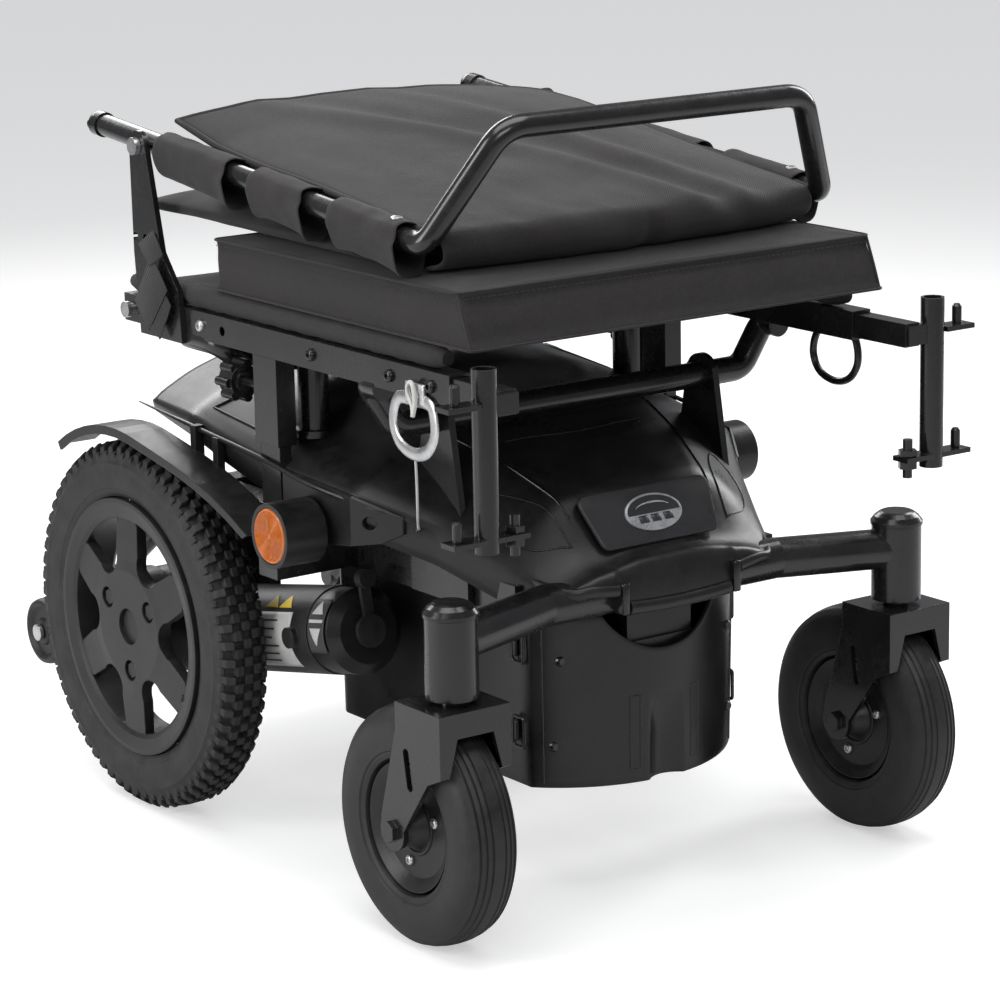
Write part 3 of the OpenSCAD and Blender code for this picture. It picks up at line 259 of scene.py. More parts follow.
@dataclass(frozen=True)
class Finish:
    """One paint, moulding, cloth or plating: its colours, gloss and small relief."""

    name: str
    color: tuple[float, float, float]
    color2: tuple[float, float, float]
    roughness: float = 0.5
    metallic: float = 0.0
    coat: float = 0.0
    surface: Surface = Surface.SMOOTH
    scale: float = 900.0
    relief: float = 0.0
    wear: float = 0.0
    bare: tuple[float, float, float] = (0.3, 0.3, 0.31)
    bare_metal: float = 0.0
    soften: float = 0.0008
    dust: float = 0.05
    mottle: float = 20.0
    sheen: float = 0.0
    specular: float = 0.5
    rough_spread: float = 0.12

    def build(self, kit: ShaderKit) -> bpy.types.Material:
        """Lays out the finish as a node material. Returns it."""
        mat = bpy.data.materials.new(self.name)
        mat.use_nodes = True
        mat.diffuse_color = (*self.color, 1)
        mat.node_tree.nodes.clear()
        b = NodeBench(mat.node_tree)
        put = b.add("ShaderNodeOutputMaterial")
        skin = b.add("ShaderNodeBsdfPrincipled", {"Metallic": self.metallic, "Coat Weight": self.coat,
            "Coat Roughness": 0.12, "Sheen Weight": self.sheen, "Sheen Roughness": 0.5,
            "Specular IOR Level": self.specular})
        b.tree.links.new(skin.outputs[0], put.inputs[0])

        def shared(group: Tree, links: dict) -> bpy.types.Node:
            """Places a shared group with its values and returns the node."""
            node = b.add("ShaderNodeGroup", node_tree=group)
            b.feed(node, links)
            return node

        tone = shared(kit.mottle, {"Color": (*self.color, 1), "Color2": (*self.color2, 1),
            "Scale": self.mottle})
        color = tone.outputs["Color"]
        rough = b.math("ADD", b.math("MULTIPLY", tone.outputs["Fac"], self.rough_spread),
            self.roughness - self.rough_spread / 2)
        edge = shared(kit.edge, {"Radius": self.soften, "Wear": self.wear,
            "Scale": 70.0}) if self.soften else None
        height = None
        if self.surface is Surface.WEAVE:
            thread = shared(kit.weave, {"Pitch": self.scale})
            height = thread.outputs["Height"]
            # lighten by the weave's tone: random slub colour plus a painted highlight on the thread crests
            color = b.mix(b.math("MULTIPLY", thread.outputs["slub_tone_and_crest_highlight"], 0.55), color,
                (*[min(1.0, 2.1 * c + 0.012) for c in self.color], 1))
        elif self.surface is Surface.RIB:
            height = shared(kit.rib, {"Pitch": self.scale}).outputs["Height"]
        elif self.surface is Surface.GRAIN:
            height = shared(kit.grain, {"Scale": self.scale}).outputs["Height"]
        else:
            height = tone.outputs["Fac"]
        if edge and self.wear:
            color = b.mix(edge.outputs["Mask"], color, (*self.bare, 1))
            if self.bare_metal:
                b.tree.links.new(b.math("MAXIMUM", b.math("MULTIPLY", edge.outputs["Mask"], self.bare_metal),
                    self.metallic), skin.inputs["Metallic"])
        powder = shared(kit.dust, {"Color": color, "Amount": self.dust})
        b.tree.links.new(powder.outputs["Color"], skin.inputs["Base Color"])
        b.tree.links.new(b.math("MINIMUM",
            b.math("ADD", rough, b.math("MULTIPLY", powder.outputs["Mask"], 0.5)), 1.0),
            skin.inputs["Roughness"])
        bump = b.add("ShaderNodeBump", {"Strength": 1.0, "Distance": self.relief, "Height": height})
        if edge:
            b.tree.links.new(edge.outputs["Normal"], bump.inputs["Normal"])
        b.tree.links.new(bump.outputs[0], skin.inputs["Normal"])
        return mat


FINISHES: tuple[Finish, ...] = (Finish("painted_tube", (0.006, 0.006, 0.0065), (0.012, 0.012, 0.0125), 0.25,
    0.0, 0.35, Surface.GRAIN, 700, 0.00003, 0.04, (0.35, 0.35, 0.36), 0.9, dust=0.03),
    Finish("casting", (0.012, 0.012, 0.0125), (0.022, 0.022, 0.023), 0.42, 0.1, 0.0, Surface.GRAIN, 500, 0.0001,
           0.12, (0.25, 0.25, 0.25), 0.8, soften=0.0015, dust=0.06),
    Finish("black_plastic", (0.0065, 0.0065, 0.007), (0.0105, 0.0105, 0.011), 0.33, 0.0, 0.0, Surface.GRAIN,
           1400, 0.00006, 0.25, (0.07, 0.07, 0.07), soften=0.0012, dust=0.05),
    Finish("grey_plastic", (0.026, 0.026, 0.028), (0.034, 0.034, 0.036), 0.3, 0.0, 0.0, Surface.GRAIN, 1400,
           0.00005, 0.2, (0.16, 0.16, 0.16), soften=0.0012, dust=0.04),
    Finish("gloss_plastic", (0.006, 0.006, 0.006), (0.011, 0.011, 0.011), 0.25, 0.0, 0.2, Surface.GRAIN, 900,
           0.00003, 0.2, (0.08, 0.08, 0.08), dust=0.04),
    Finish("tyre", (0.010, 0.010, 0.0105), (0.021, 0.0205, 0.020), 0.62, 0.0, 0.0, Surface.GRAIN, 420, 0.00022,
           0.4, (0.055, 0.053, 0.05), soften=0.0009, dust=0.28, mottle=14),
    Finish("rubber", (0.009, 0.009, 0.0092), (0.016, 0.016, 0.0162), 0.5, 0.0, 0.0, Surface.GRAIN, 520, 0.0001,
           0.25, (0.05, 0.05, 0.05), dust=0.14), Finish("wheel_rim", (0.009, 0.009, 0.0092),
               (0.016, 0.016, 0.0165), 0.4, 0.0, 0.0, Surface.GRAIN, 1000, 0.00007, 0.15, (0.1, 0.1, 0.1),
               soften=0.0014, dust=0.08), Finish("zinc", (0.55, 0.55, 0.56), (0.72, 0.72, 0.72), 0.28, 0.95,
                   0.0, Surface.SMOOTH, 500, 0.00003, 0.0, soften=0.0005, dust=0.05, mottle=90),
    Finish("woven_black", (0.0125, 0.0105, 0.0104), (0.021, 0.0180, 0.0178), 0.8, 0.0, 0.0, Surface.WEAVE,
           0.0011, 0.00014, soften=0.0, dust=0.03, mottle=9, sheen=0.12, specular=0.35),
    Finish("webbing", (0.010, 0.010, 0.010), (0.020, 0.020, 0.020), 0.6, 0.0, 0.0, Surface.RIB, 0.0022, 0.0004,
           soften=0.0, dust=0.05, sheen=0.1), Finish("badge_plate", (0.42, 0.43, 0.45), (0.6, 0.61, 0.63), 0.3,
               0.4, 0.3, Surface.SMOOTH, 500, 0.00002, soften=0.0006, dust=0.02, mottle=60),
    Finish("badge_bars", (0.02, 0.021, 0.024), (0.03, 0.031, 0.034), 0.35, 0.0, 0.2, Surface.SMOOTH, 500,
           0.00002, soften=0.0, dust=0.02), Finish("label_paper", (0.5, 0.5, 0.48), (0.62, 0.62, 0.6), 0.45,
               0.0, 0.15, Surface.SMOOTH, 500, 0.00002, soften=0.0, dust=0.2, mottle=60),
    Finish("label_yellow", (0.72, 0.5, 0.03), (0.8, 0.58, 0.05), 0.45, 0.0, 0.15, Surface.SMOOTH, 500, 0.00002,
           soften=0.0, dust=0.1), Finish("label_ink", (0.03, 0.03, 0.035), (0.06, 0.06, 0.065), 0.5, 0.0, 0.0,
               Surface.SMOOTH, 500, 0.00002, soften=0.0, dust=0.05),
    Finish("amber_lens", (0.50, 0.11, 0.003), (0.66, 0.17, 0.006), 0.16, 0.0, 0.6, Surface.SMOOTH, 500, 0.0001,
           soften=0.0006, dust=0.03, mottle=300), Finish("cord_white", (0.6, 0.59, 0.56), (0.72, 0.71, 0.68),
               0.5, 0.0, 0.0, Surface.GRAIN, 900, 0.0001, soften=0.0, dust=0.1),)


# Shape making -----------------------------------------------------------------


def ring_tree(name: str) -> Tree:
    """Builds the Geometry Nodes tree that sets copies of a shape on a ring.

    Returns:
        The tree, with inputs Shape, Count, Radius, Start, Offset, Twist and Material.
    """
    b, i, o = new_group(name, {"Shape": ("Object", None), "Count": ("Int", 6), "Radius": ("Float", 0.1),
        "Start": ("Float", 0.0), "Offset": ("Float", 0.0), "Twist": ("Float", 0.0),
        "Material": ("Material", None)}, {"Geometry": "Geometry"}, "GeometryNodeTree")
    index = b.add("GeometryNodeInputIndex").outputs[0]
    angle = b.math("ADD", b.math("DIVIDE", b.math("MULTIPLY", index, TAU), i.outputs["Count"]),
        i.outputs["Start"])
    place = b.add("ShaderNodeCombineXYZ",
        {0: i.outputs["Offset"], 1: b.math("MULTIPLY", b.math("COSINE", angle), i.outputs["Radius"]),
         2: b.math("MULTIPLY", b.math("SINE", angle), i.outputs["Radius"])}).outputs[0]
    points = b.add("GeometryNodePoints", {"Count": i.outputs["Count"], "Position": place}).outputs[0]
    shape = b.add("GeometryNodeObjectInfo", {"Object": i.outputs["Shape"]})
    turn = b.add("ShaderNodeCombineXYZ", {0: angle, 1: 0.0, 2: 0.0}).outputs[0]
    spin = b.add("FunctionNodeEulerToRotation", {0: turn}).outputs[0]
    lean = b.add("FunctionNodeEulerToRotation",
                 {0: b.add("ShaderNodeCombineXYZ", {1: i.outputs["Twist"]}).outputs[0]}).outputs[0]
    both = b.add("FunctionNodeRotateRotation", {0: spin, 1: lean}, rotation_space="LOCAL").outputs[0]
    copies = b.add("GeometryNodeInstanceOnPoints", {"Points": points, "Instance": shape.outputs["Geometry"],
        "Rotation": both}).outputs[0]
    real = b.add("GeometryNodeRealizeInstances", {0: copies}).outputs[0]
    done = b.add("GeometryNodeSetMaterial", {"Geometry": real, "Material": i.outputs["Material"]}).outputs[0]
    b.tree.links.new(done, o.inputs[0])
    return b.tree


def path_tree(name: str) -> Tree:
    """Builds the Geometry Nodes tree that sets copies of a shape at an even pitch along an edge path.

    Returns:
        The tree, with inputs Geometry, Shape, Pitch, Jitter, Seed and Material.
    """
    b, i, o = new_group(name, {"Geometry": ("Geometry", None), "Shape": ("Object", None),
        "Pitch": ("Float", 0.004), "Jitter": ("Float", 0.0), "Seed": ("Int", 7),
        "Material": ("Material", None)}, {"Geometry": "Geometry"}, "GeometryNodeTree")
    curve = b.add("GeometryNodeMeshToCurve", {"Mesh": i.outputs["Geometry"]}).outputs[0]
    points = b.add("GeometryNodeCurveToPoints", {"Curve": curve, "Length": i.outputs["Pitch"]}, mode="LENGTH")
    shake = b.add("FunctionNodeRandomValue", {8: i.outputs["Seed"]}, data_type="FLOAT").outputs[1]
    roll = b.add("ShaderNodeCombineXYZ",
                 {2: b.math("MULTIPLY", b.math("SUBTRACT", shake, 0.5), i.outputs["Jitter"])}).outputs[0]
    turn = b.add("FunctionNodeRotateRotation", {0: points.outputs["Rotation"],
        1: b.add("FunctionNodeEulerToRotation", {0: roll}).outputs[0]}, rotation_space="LOCAL").outputs[0]
    shape = b.add("GeometryNodeObjectInfo", {"Object": i.outputs["Shape"]})
    copies = b.add("GeometryNodeInstanceOnPoints", {"Points": points.outputs[0],
        "Instance": shape.outputs["Geometry"], "Rotation": turn}).outputs[0]
    real = b.add("GeometryNodeRealizeInstances", {0: copies}).outputs[0]
    done = b.add("GeometryNodeSetMaterial", {"Geometry": real, "Material": i.outputs["Material"]}).outputs[0]
    b.tree.links.new(done, o.inputs[0])
    return b.tree


def rounded_route(points: Sequence[Point], radius: float, steps: int = 7) -> list[Vector]:
    """Rounds the inner corners of a route.

    Args:
        points: the route's corners, in metres.
        radius: the bend radius.
        steps: points on each bend.

    Returns:
        The rounded route.
    """
    p = [Vector(q) for q in points]
    out = [p[0]]
    for a, c, d in zip(p, p[1:], p[2:]):
        u, v = (a - c).normalized(), (d - c).normalized()
        angle = u.angle(v)
        if angle > math.pi - 0.02:
            out.append(c)
            continue
        reach = min(radius / math.tan(angle / 2), (a - c).length * 0.49, (d - c).length * 0.49)
        start, end = c + u * reach, c + v * reach
        for k in range(steps + 1):
            t = k / steps
            out.append(start * (1 - t) ** 2 + c * 2 * t * (1 - t) + end * t * t)
    out.append(p[-1])
    return out


def smooth_route(points: Sequence[Point], per_span: int = 8) -> list[Vector]:
    """Runs a Catmull-Rom curve through points.

    Args:
        points: what the curve goes through.
        per_span: steps between each two.

    Returns:
        The curve's points.
    """
    p = [Vector(q) for q in points]
    p = [2 * p[0] - p[1], *p, 2 * p[-1] - p[-2]]
    out: list[Vector] = []
    for k in range(1, len(p) - 2):
        for s in range(per_span):
            t = s / per_span
            out.append(0.5
                       * (2 * p[k] + (p[k + 1] - p[k - 1]) * t
                          + (2 * p[k - 1] - 5 * p[k] + 4 * p[k + 1] - p[k + 2]) * t * t
                          + (3 * p[k] - p[k - 1] - 3 * p[k + 1] + p[k + 2]) * t ** 3))
    return [*out, p[-2]]


def superellipse(half_u: float, half_v: float, power: float, count: int) -> list[tuple[float, float]]:
    """Returns count points on a rounded rectangle of the given half sizes; a higher power is squarer."""
    out = []
    for k in range(count):
        a = TAU * k / count
        c, s = math.cos(a), math.sin(a)
        out.append((half_u * math.copysign(abs(c) ** (2 / power), c),
                    half_v * math.copysign(abs(s) ** (2 / power), s)))
    return out


class Workshop:
    """Makes meshes, gives them a finish and fixes them to the CAD bodies."""

    def __init__(self) -> None:
        """Builds the finishes and the Geometry Nodes trees."""
        kit = ShaderKit()
        self.finish = {f.name: f.build(kit) for f in FINISHES}
        self.ring = ring_tree("copies_on_ring")
        self.path = path_tree("copies_on_path")

    def object(self, name: str, bm: bmesh.types.BMesh, finish: str, smooth: float = 0.7) -> Thing:
        """Makes an object from a bmesh, in place, with its faces outwards.

        Args:
            name: the object's name.
            bm: the mesh, which is freed.
            finish: name of its finish.
            smooth: angle in radians under which an edge is shaded smooth.

        Returns:
            The new object.
        """
        bmesh.ops.remove_doubles(bm, verts=bm.verts, dist=TINY)
        bmesh.ops.recalc_face_normals(bm, faces=bm.faces)
        mesh = bpy.data.meshes.new(name)
        for face in bm.faces:
            face.smooth = True
        for edge in bm.edges:
            edge.smooth = not edge.is_manifold or edge.calc_face_angle(0) < smooth
        bm.to_mesh(mesh)
        bm.free()
        thing = bpy.data.objects.new(name, mesh)
        thing.data.materials.append(self.finish[finish])
        bpy.context.scene.collection.objects.link(thing)
        return thing

    def fix(self, piece: Thing, body: str, replaces: Sequence[str] = ()) -> Thing:
        """Rides a piece on a body, and hides the CAD nodes it stands for. Returns the piece."""
        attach(piece, body)
        if replaces:
            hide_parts(*replaces)
        log.info("%s rides on %s, %d faces", piece.name, body, len(piece.data.polygons))
        return piece

    def join(self, name: str, parts: Sequence[Thing]) -> Thing:
        """Joins parts into one named object, keeping their finishes, and returns it."""
        base = parts[0]
        with bpy.context.temp_override(active_object=base, object=base, selected_editable_objects=list(parts),
                selected_objects=list(parts)):
            bpy.ops.object.join()
        base.name = name
        return base

    def fix_all(self, name: str, parts: Sequence[Thing], body: str, replaces: Sequence[str] = ()) -> Thing:
        """Joins parts under one name and fixes the result, as fix does. Returns it."""
        return self.fix(self.join(name, parts), body, replaces)

    def soften(self, piece: Thing, width: float, segments: int = 2, angle: float = 0.6) -> Thing:
        """Rounds a piece's sharp edges with a bevel, baked into its mesh, and returns it."""
        mod = piece.modifiers.new("soften", "BEVEL")
        mod.width, mod.segments, mod.limit_method = width, segments, "ANGLE"
        mod.angle_limit, mod.harden_normals = angle, False
        return self.bake(piece)

    def thicken(self, piece: Thing, thickness: float, offset: float) -> Thing:
        """Gives a skin a thickness, to the side that offset says, baked into its mesh, and returns it."""
        mod = piece.modifiers.new("thickness", "SOLIDIFY")
        mod.thickness, mod.offset = thickness, offset
        return self.bake(piece)

    def sheet(self, name: str, rows: Sequence[Ring], finish: str) -> Thing:
        """Skins rows of points as one open, smooth sheet and returns it."""
        bm = bmesh.new()
        verts = [[bm.verts.new(p) for p in row] for row in rows]
        for a, b in zip(verts, verts[1:]):
            for i in range(len(a) - 1):
                bm.faces.new((a[i], a[i + 1], b[i + 1], b[i]))
        return self.object(name, bm, finish, ALL_SMOOTH)

    def bake(self, piece: Thing) -> Thing:
        """Turns a piece's live modifiers into plain mesh and returns the piece."""
        graph = bpy.context.evaluated_depsgraph_get()
        mesh = bpy.data.meshes.new_from_object(piece.evaluated_get(graph), preserve_all_data_layers=True,
            depsgraph=graph)
        piece.modifiers.clear()
        old, piece.data = piece.data, mesh
        bpy.data.meshes.remove(old)
        return piece

    def subdivide(self, piece: Thing, levels: int = 2) -> Thing:
        """Smooths a piece by subdivision, baked into its mesh, and returns it."""
        mod = piece.modifiers.new("smooth", "SUBSURF")
        mod.levels = mod.render_levels = levels
        return self.bake(piece)

    def tube(self, name: str, route: Sequence[Vector], radius: float | Callable[[float], float], finish: str,
             sides: int = 20, closed: bool = False, squash: tuple[float, float] = (1.0, 1.0)) -> Thing:
        """Sweeps a round or flattened section along a route.

        Args:
            name: the object's name.
            route: the centre line.
            radius: the radius, or a function of the share of the way along.
            finish: name of the finish.
            sides: points on the section.
            closed: whether the route's ends meet.
            squash: section's scale across and along its first normal.

        Returns:
            The tube, with its ends capped and U along it and V round it in metres.
        """
        n = len(route)
        tangents = []
        for k in range(n):
            a, c = (route[(k - 1) % n], route[(k + 1) % n]) if closed else (route[max(k - 1, 0)],
                route[min(k + 1, n - 1)])
            tangents.append((c - a).normalized())
        normal = tangents[0].orthogonal().normalized()
        if abs(tangents[0].z) < 0.9:
            normal = (Vector((0, 0, 1)) - tangents[0] * tangents[0].z).normalized()
        bm = bmesh.new()
        uv = bm.loops.layers.uv.new("UVMap")
        rings, run, along = [], 0.0, [0.0]
        for k in range(n):
            normal = (normal - tangents[k] * normal.dot(tangents[k])).normalized()
            side = tangents[k].cross(normal)
            r = radius(k / (n - 1)) if callable(radius) else radius
            rings.append([bm.verts.new(route[k] + normal * (r * squash[1] * math.cos(TAU * j / sides))
                + side * (r * squash[0] * math.sin(TAU * j / sides))) for j in range(sides)])
            run += (route[(k + 1) % n] - route[k]).length
            along.append(run)
        turns = n if closed else n - 1
        width = TAU * (radius(0.5) if callable(radius) else radius)
        for k in range(turns):
            for j in range(sides):
                face = bm.faces.new((rings[k][j], rings[k][(j + 1) % sides],
                    rings[(k + 1) % n][(j + 1) % sides], rings[(k + 1) % n][j]))
                for loop, (s, t) in zip(face.loops, ((k, j), (k, j + 1), (k + 1, j + 1), (k + 1, j))):
                    loop[uv].uv = (along[s], width * t / sides)
        if not closed:
            for end in (rings[0], rings[-1]):
                bm.faces.new(end)
        return self.object(name, bm, finish, 0.9)

    def turned(self, name: str, profile: Sequence[tuple[float, float]], centre: Point, axis: Axis, finish: str,
               sides: int = 64, smooth: float = 0.7) -> Thing:
        """Turns a closed profile round an axis.

        Args:
            name: the object's name.
            profile: (along the axis, radius) pairs; it starts and ends on the same loop or on the axis.
            centre: where the axis passes.
            axis: the axis direction.
            finish: name of the finish.
            sides: steps round.
            smooth: shading angle.

        Returns:
            The turned object.
        """
        base = Vector(centre)
        main = axis.value
        u = Vector((0, 1, 0)) if axis is not Axis.Y else Vector((1, 0, 0))
        v = main.cross(u)
        bm = bmesh.new()
        rows = []
        for a, r in profile:
            if r < TINY:
                rows.append([bm.verts.new(base + main * a)] * sides)
            else:
                rows.append([bm.verts.new(base + main * a + u * (r * math.cos(TAU * k / sides))
                    + v * (r * math.sin(TAU * k / sides))) for k in range(sides)])
        loop = profile[0][1] > TINY and profile[-1][1] > TINY
        for k in range(len(rows) if loop else len(rows) - 1):
            a, c = rows[k], rows[(k + 1) % len(rows)]
            for j in range(sides):
                corners = list(dict.fromkeys((a[j], a[(j + 1) % sides], c[(j + 1) % sides], c[j])))
                if len(corners) > 2:
                    bm.faces.new(corners)
        return self.object(name, bm, finish, smooth)

    def loft(self, name: str, rings: Sequence[Ring], finish: str, closed: bool = True, caps: bool = True,
             smooth: float = 0.7) -> Thing:
        """Skins a row of equal rings.

        Args:
            name: the object's name.
            rings: the sections, each a list of points.
            finish: name of the finish.
            closed: whether each section is a closed loop.
            caps: whether the two ends are filled.
            smooth: shading angle.

        Returns:
            The lofted object, with a UV map in metres.
        """
        bm = bmesh.new()
        uv = bm.loops.layers.uv.new("UVMap")
        rows = [[bm.verts.new(p) for p in ring] for ring in rings]
        m = len(rows[0])
        mid = len(rings) // 2
        across = np.cumsum([0.0] + [(rings[mid][(j + 1) % m] - rings[mid][j]).length for j in range(m)])
        along = np.cumsum([0.0] + [(rings[k + 1][0] - rings[k][0]).length for k in range(len(rings) - 1)])
        for k in range(len(rows) - 1):
            for j in range(m if closed else m - 1):
                face = bm.faces.new((rows[k][j], rows[k][(j + 1) % m], rows[k + 1][(j + 1) % m],
                    rows[k + 1][j]))
                for loop, (s, t) in zip(face.loops, ((k, j), (k, j + 1), (k + 1, j + 1), (k + 1, j))):
                    loop[uv].uv = (along[s], across[t])
        if caps and closed:
            bm.faces.new(rows[0])
            bm.faces.new(rows[-1])
        return self.object(name, bm, finish, smooth)

    def block(self, name: str, low: Point, high: Point, finish: str, edge: float = 0.001,
              segments: int = 2) -> Thing:
        """Makes a box between two corners with rounded edges and returns it."""
        bm = bmesh.new()
        bmesh.ops.create_cube(bm, size=1.0)
        lo, hi = Vector(low), Vector(high)
        for vert in bm.verts:
            vert.co = Vector((lo[a] + (vert.co[a] + 0.5) * (hi[a] - lo[a]) for a in range(3)))
        bmesh.ops.bevel(bm, geom=list(bm.edges), offset=edge, segments=segments, profile=0.5, affect="EDGES",
            clamp_overlap=True)
        return self.object(name, bm, finish, 0.9)

    def slab(self, name: str, outline: Sequence[Point], push: Point, finish: str, edge: float = 0.0008,
             segments: int = 2) -> Thing:
        """Gives a flat outline a thickness along push, with rounded edges.

        Args:
            name: the object's name.
            outline: the outline's corners in space.
            push: the thickness as a vector.
            finish: name of the finish.
            edge: edge radius.
            segments: steps on each edge.

        Returns:
            The slab.
        """
        bm = bmesh.new()
        face = bm.faces.new([bm.verts.new(Vector(p)) for p in outline])
        grown = bmesh.ops.extrude_face_region(bm, geom=[face])
        bmesh.ops.translate(bm, vec=Vector(push),
            verts=[g for g in grown["geom"] if isinstance(g, bmesh.types.BMVert)])
        if edge:
            rim = [e for e in bm.edges if len(e.link_faces) == 2 and face_turn(e) > 0.5]
            bmesh.ops.bevel(bm, geom=rim, offset=edge, segments=segments, profile=0.5, affect="EDGES",
                clamp_overlap=True)
        return self.object(name, bm, finish, 0.9)

    def seed_shape(self, piece: Thing) -> Thing:
        """Takes a small shape out of the scene, to be copied by a tree, and returns it."""
        bpy.context.scene.collection.objects.unlink(piece)
        return piece

    def copies_on_ring(self, name: str, shape: Thing, count: int, radius: float, finish: str, centre: Point,
                       start: float = 0.0, offset: float = 0.0, twist: float = 0.0) -> Thing:
        """Sets copies of a shape on a ring about the X axis through centre.

        Args:
            name: the object's name.
            shape: the shape; its +Y points away from the axis.
            count: how many.
            radius: the ring's radius.
            finish: name of the finish.
            centre: the ring's centre.
            start: angle of the first copy from +Y, in radians.
            offset: shift along X.
            twist: turn of each copy about its own outward line.

        Returns:
            The copies as one plain mesh.
        """
        carrier = bpy.data.objects.new(name, bpy.data.meshes.new(name))
        bpy.context.scene.collection.objects.link(carrier)
        values = {"Shape": shape, "Count": count, "Radius": radius, "Start": start, "Offset": offset,
                  "Twist": twist, "Material": self.finish[finish]}
        self._grow(carrier, self.ring, values)
        carrier.data.transform(Matrix.Translation(Vector(centre)))
        return carrier

    def copies_on_path(self, name: str, shape: Thing, route: Sequence[Vector], pitch: float, finish: str,
            jitter: float = 0.0) -> Thing:
        """Sets copies of a shape along a route at an even pitch and returns them as one plain mesh."""
        mesh = bpy.data.meshes.new(name)
        mesh.from_pydata([tuple(p) for p in route], [(k, k + 1) for k in range(len(route) - 1)], [])
        carrier = bpy.data.objects.new(name, mesh)
        bpy.context.scene.collection.objects.link(carrier)
        self._grow(carrier, self.path, {"Shape": shape, "Pitch": pitch, "Jitter": jitter, "Seed": 7,
            "Material": self.finish[finish]})
        return carrier

    def _grow(self, carrier: Thing, tree: Tree, values: dict[str, object]) -> None:
        """Runs a tree on carrier with named values and keeps the result as its mesh."""
        mod = carrier.modifiers.new("grow", "NODES")
        mod.node_group = tree
        ids = {s.name: s.identifier for s in tree.interface.items_tree if s.item_type == "SOCKET"
               and s.in_out == "INPUT"}
        for label, value in values.items():
            mod[ids[label]] = value
        self.bake(carrier)


def face_turn(edge: bmesh.types.BMEdge) -> float:
    """Returns the angle between an edge's two faces, in radians."""
    return edge.link_faces[0].normal.angle(edge.link_faces[1].normal, 0.0)


def hex_head(shop: Workshop, name: str, radius: float, height: float, finish: str) -> Thing:
    """Makes a domed bolt head with a socket, facing +X at the origin, for a ring tree.

    Args:
        shop: the workshop.
        name: the object's name.
        radius: the head's radius.
        height: how far it stands up.
        finish: name of the finish.

    Returns:
        The head, taken out of the scene.
    """
    h, r = height, radius
    profile = [(0, 0), (0, r), (0.55 * h, r), (0.85 * h, 0.86 * r), (h, 0.6 * r), (h, 0.42 * r),
               (0.45 * h, 0.4 * r), (0.45 * h, 0)]
    return shop.seed_shape(shop.turned(name, profile, (0, 0, 0), Axis.X, finish, 12))


def on_side(point: Point, k: int) -> Vector:
    """Returns a point with its X turned to side k (-1 right, 1 left)."""
    return Vector((k * point[0], point[1], point[2]))


def both_ways(points: Sequence[Point], k: int) -> list[Vector]:
    """Returns points with X turned to side k."""
    return [on_side(p, k) for p in points]


def both_halves(side: list[tuple[float, float]]) -> list[tuple[float, float]]:
    """Returns a wheel's section from the half of it that ends on the middle."""
    return side + [(-x, y) for x, y in reversed(side[:-1])]


# Wheels -----------------------------------------------------------------------


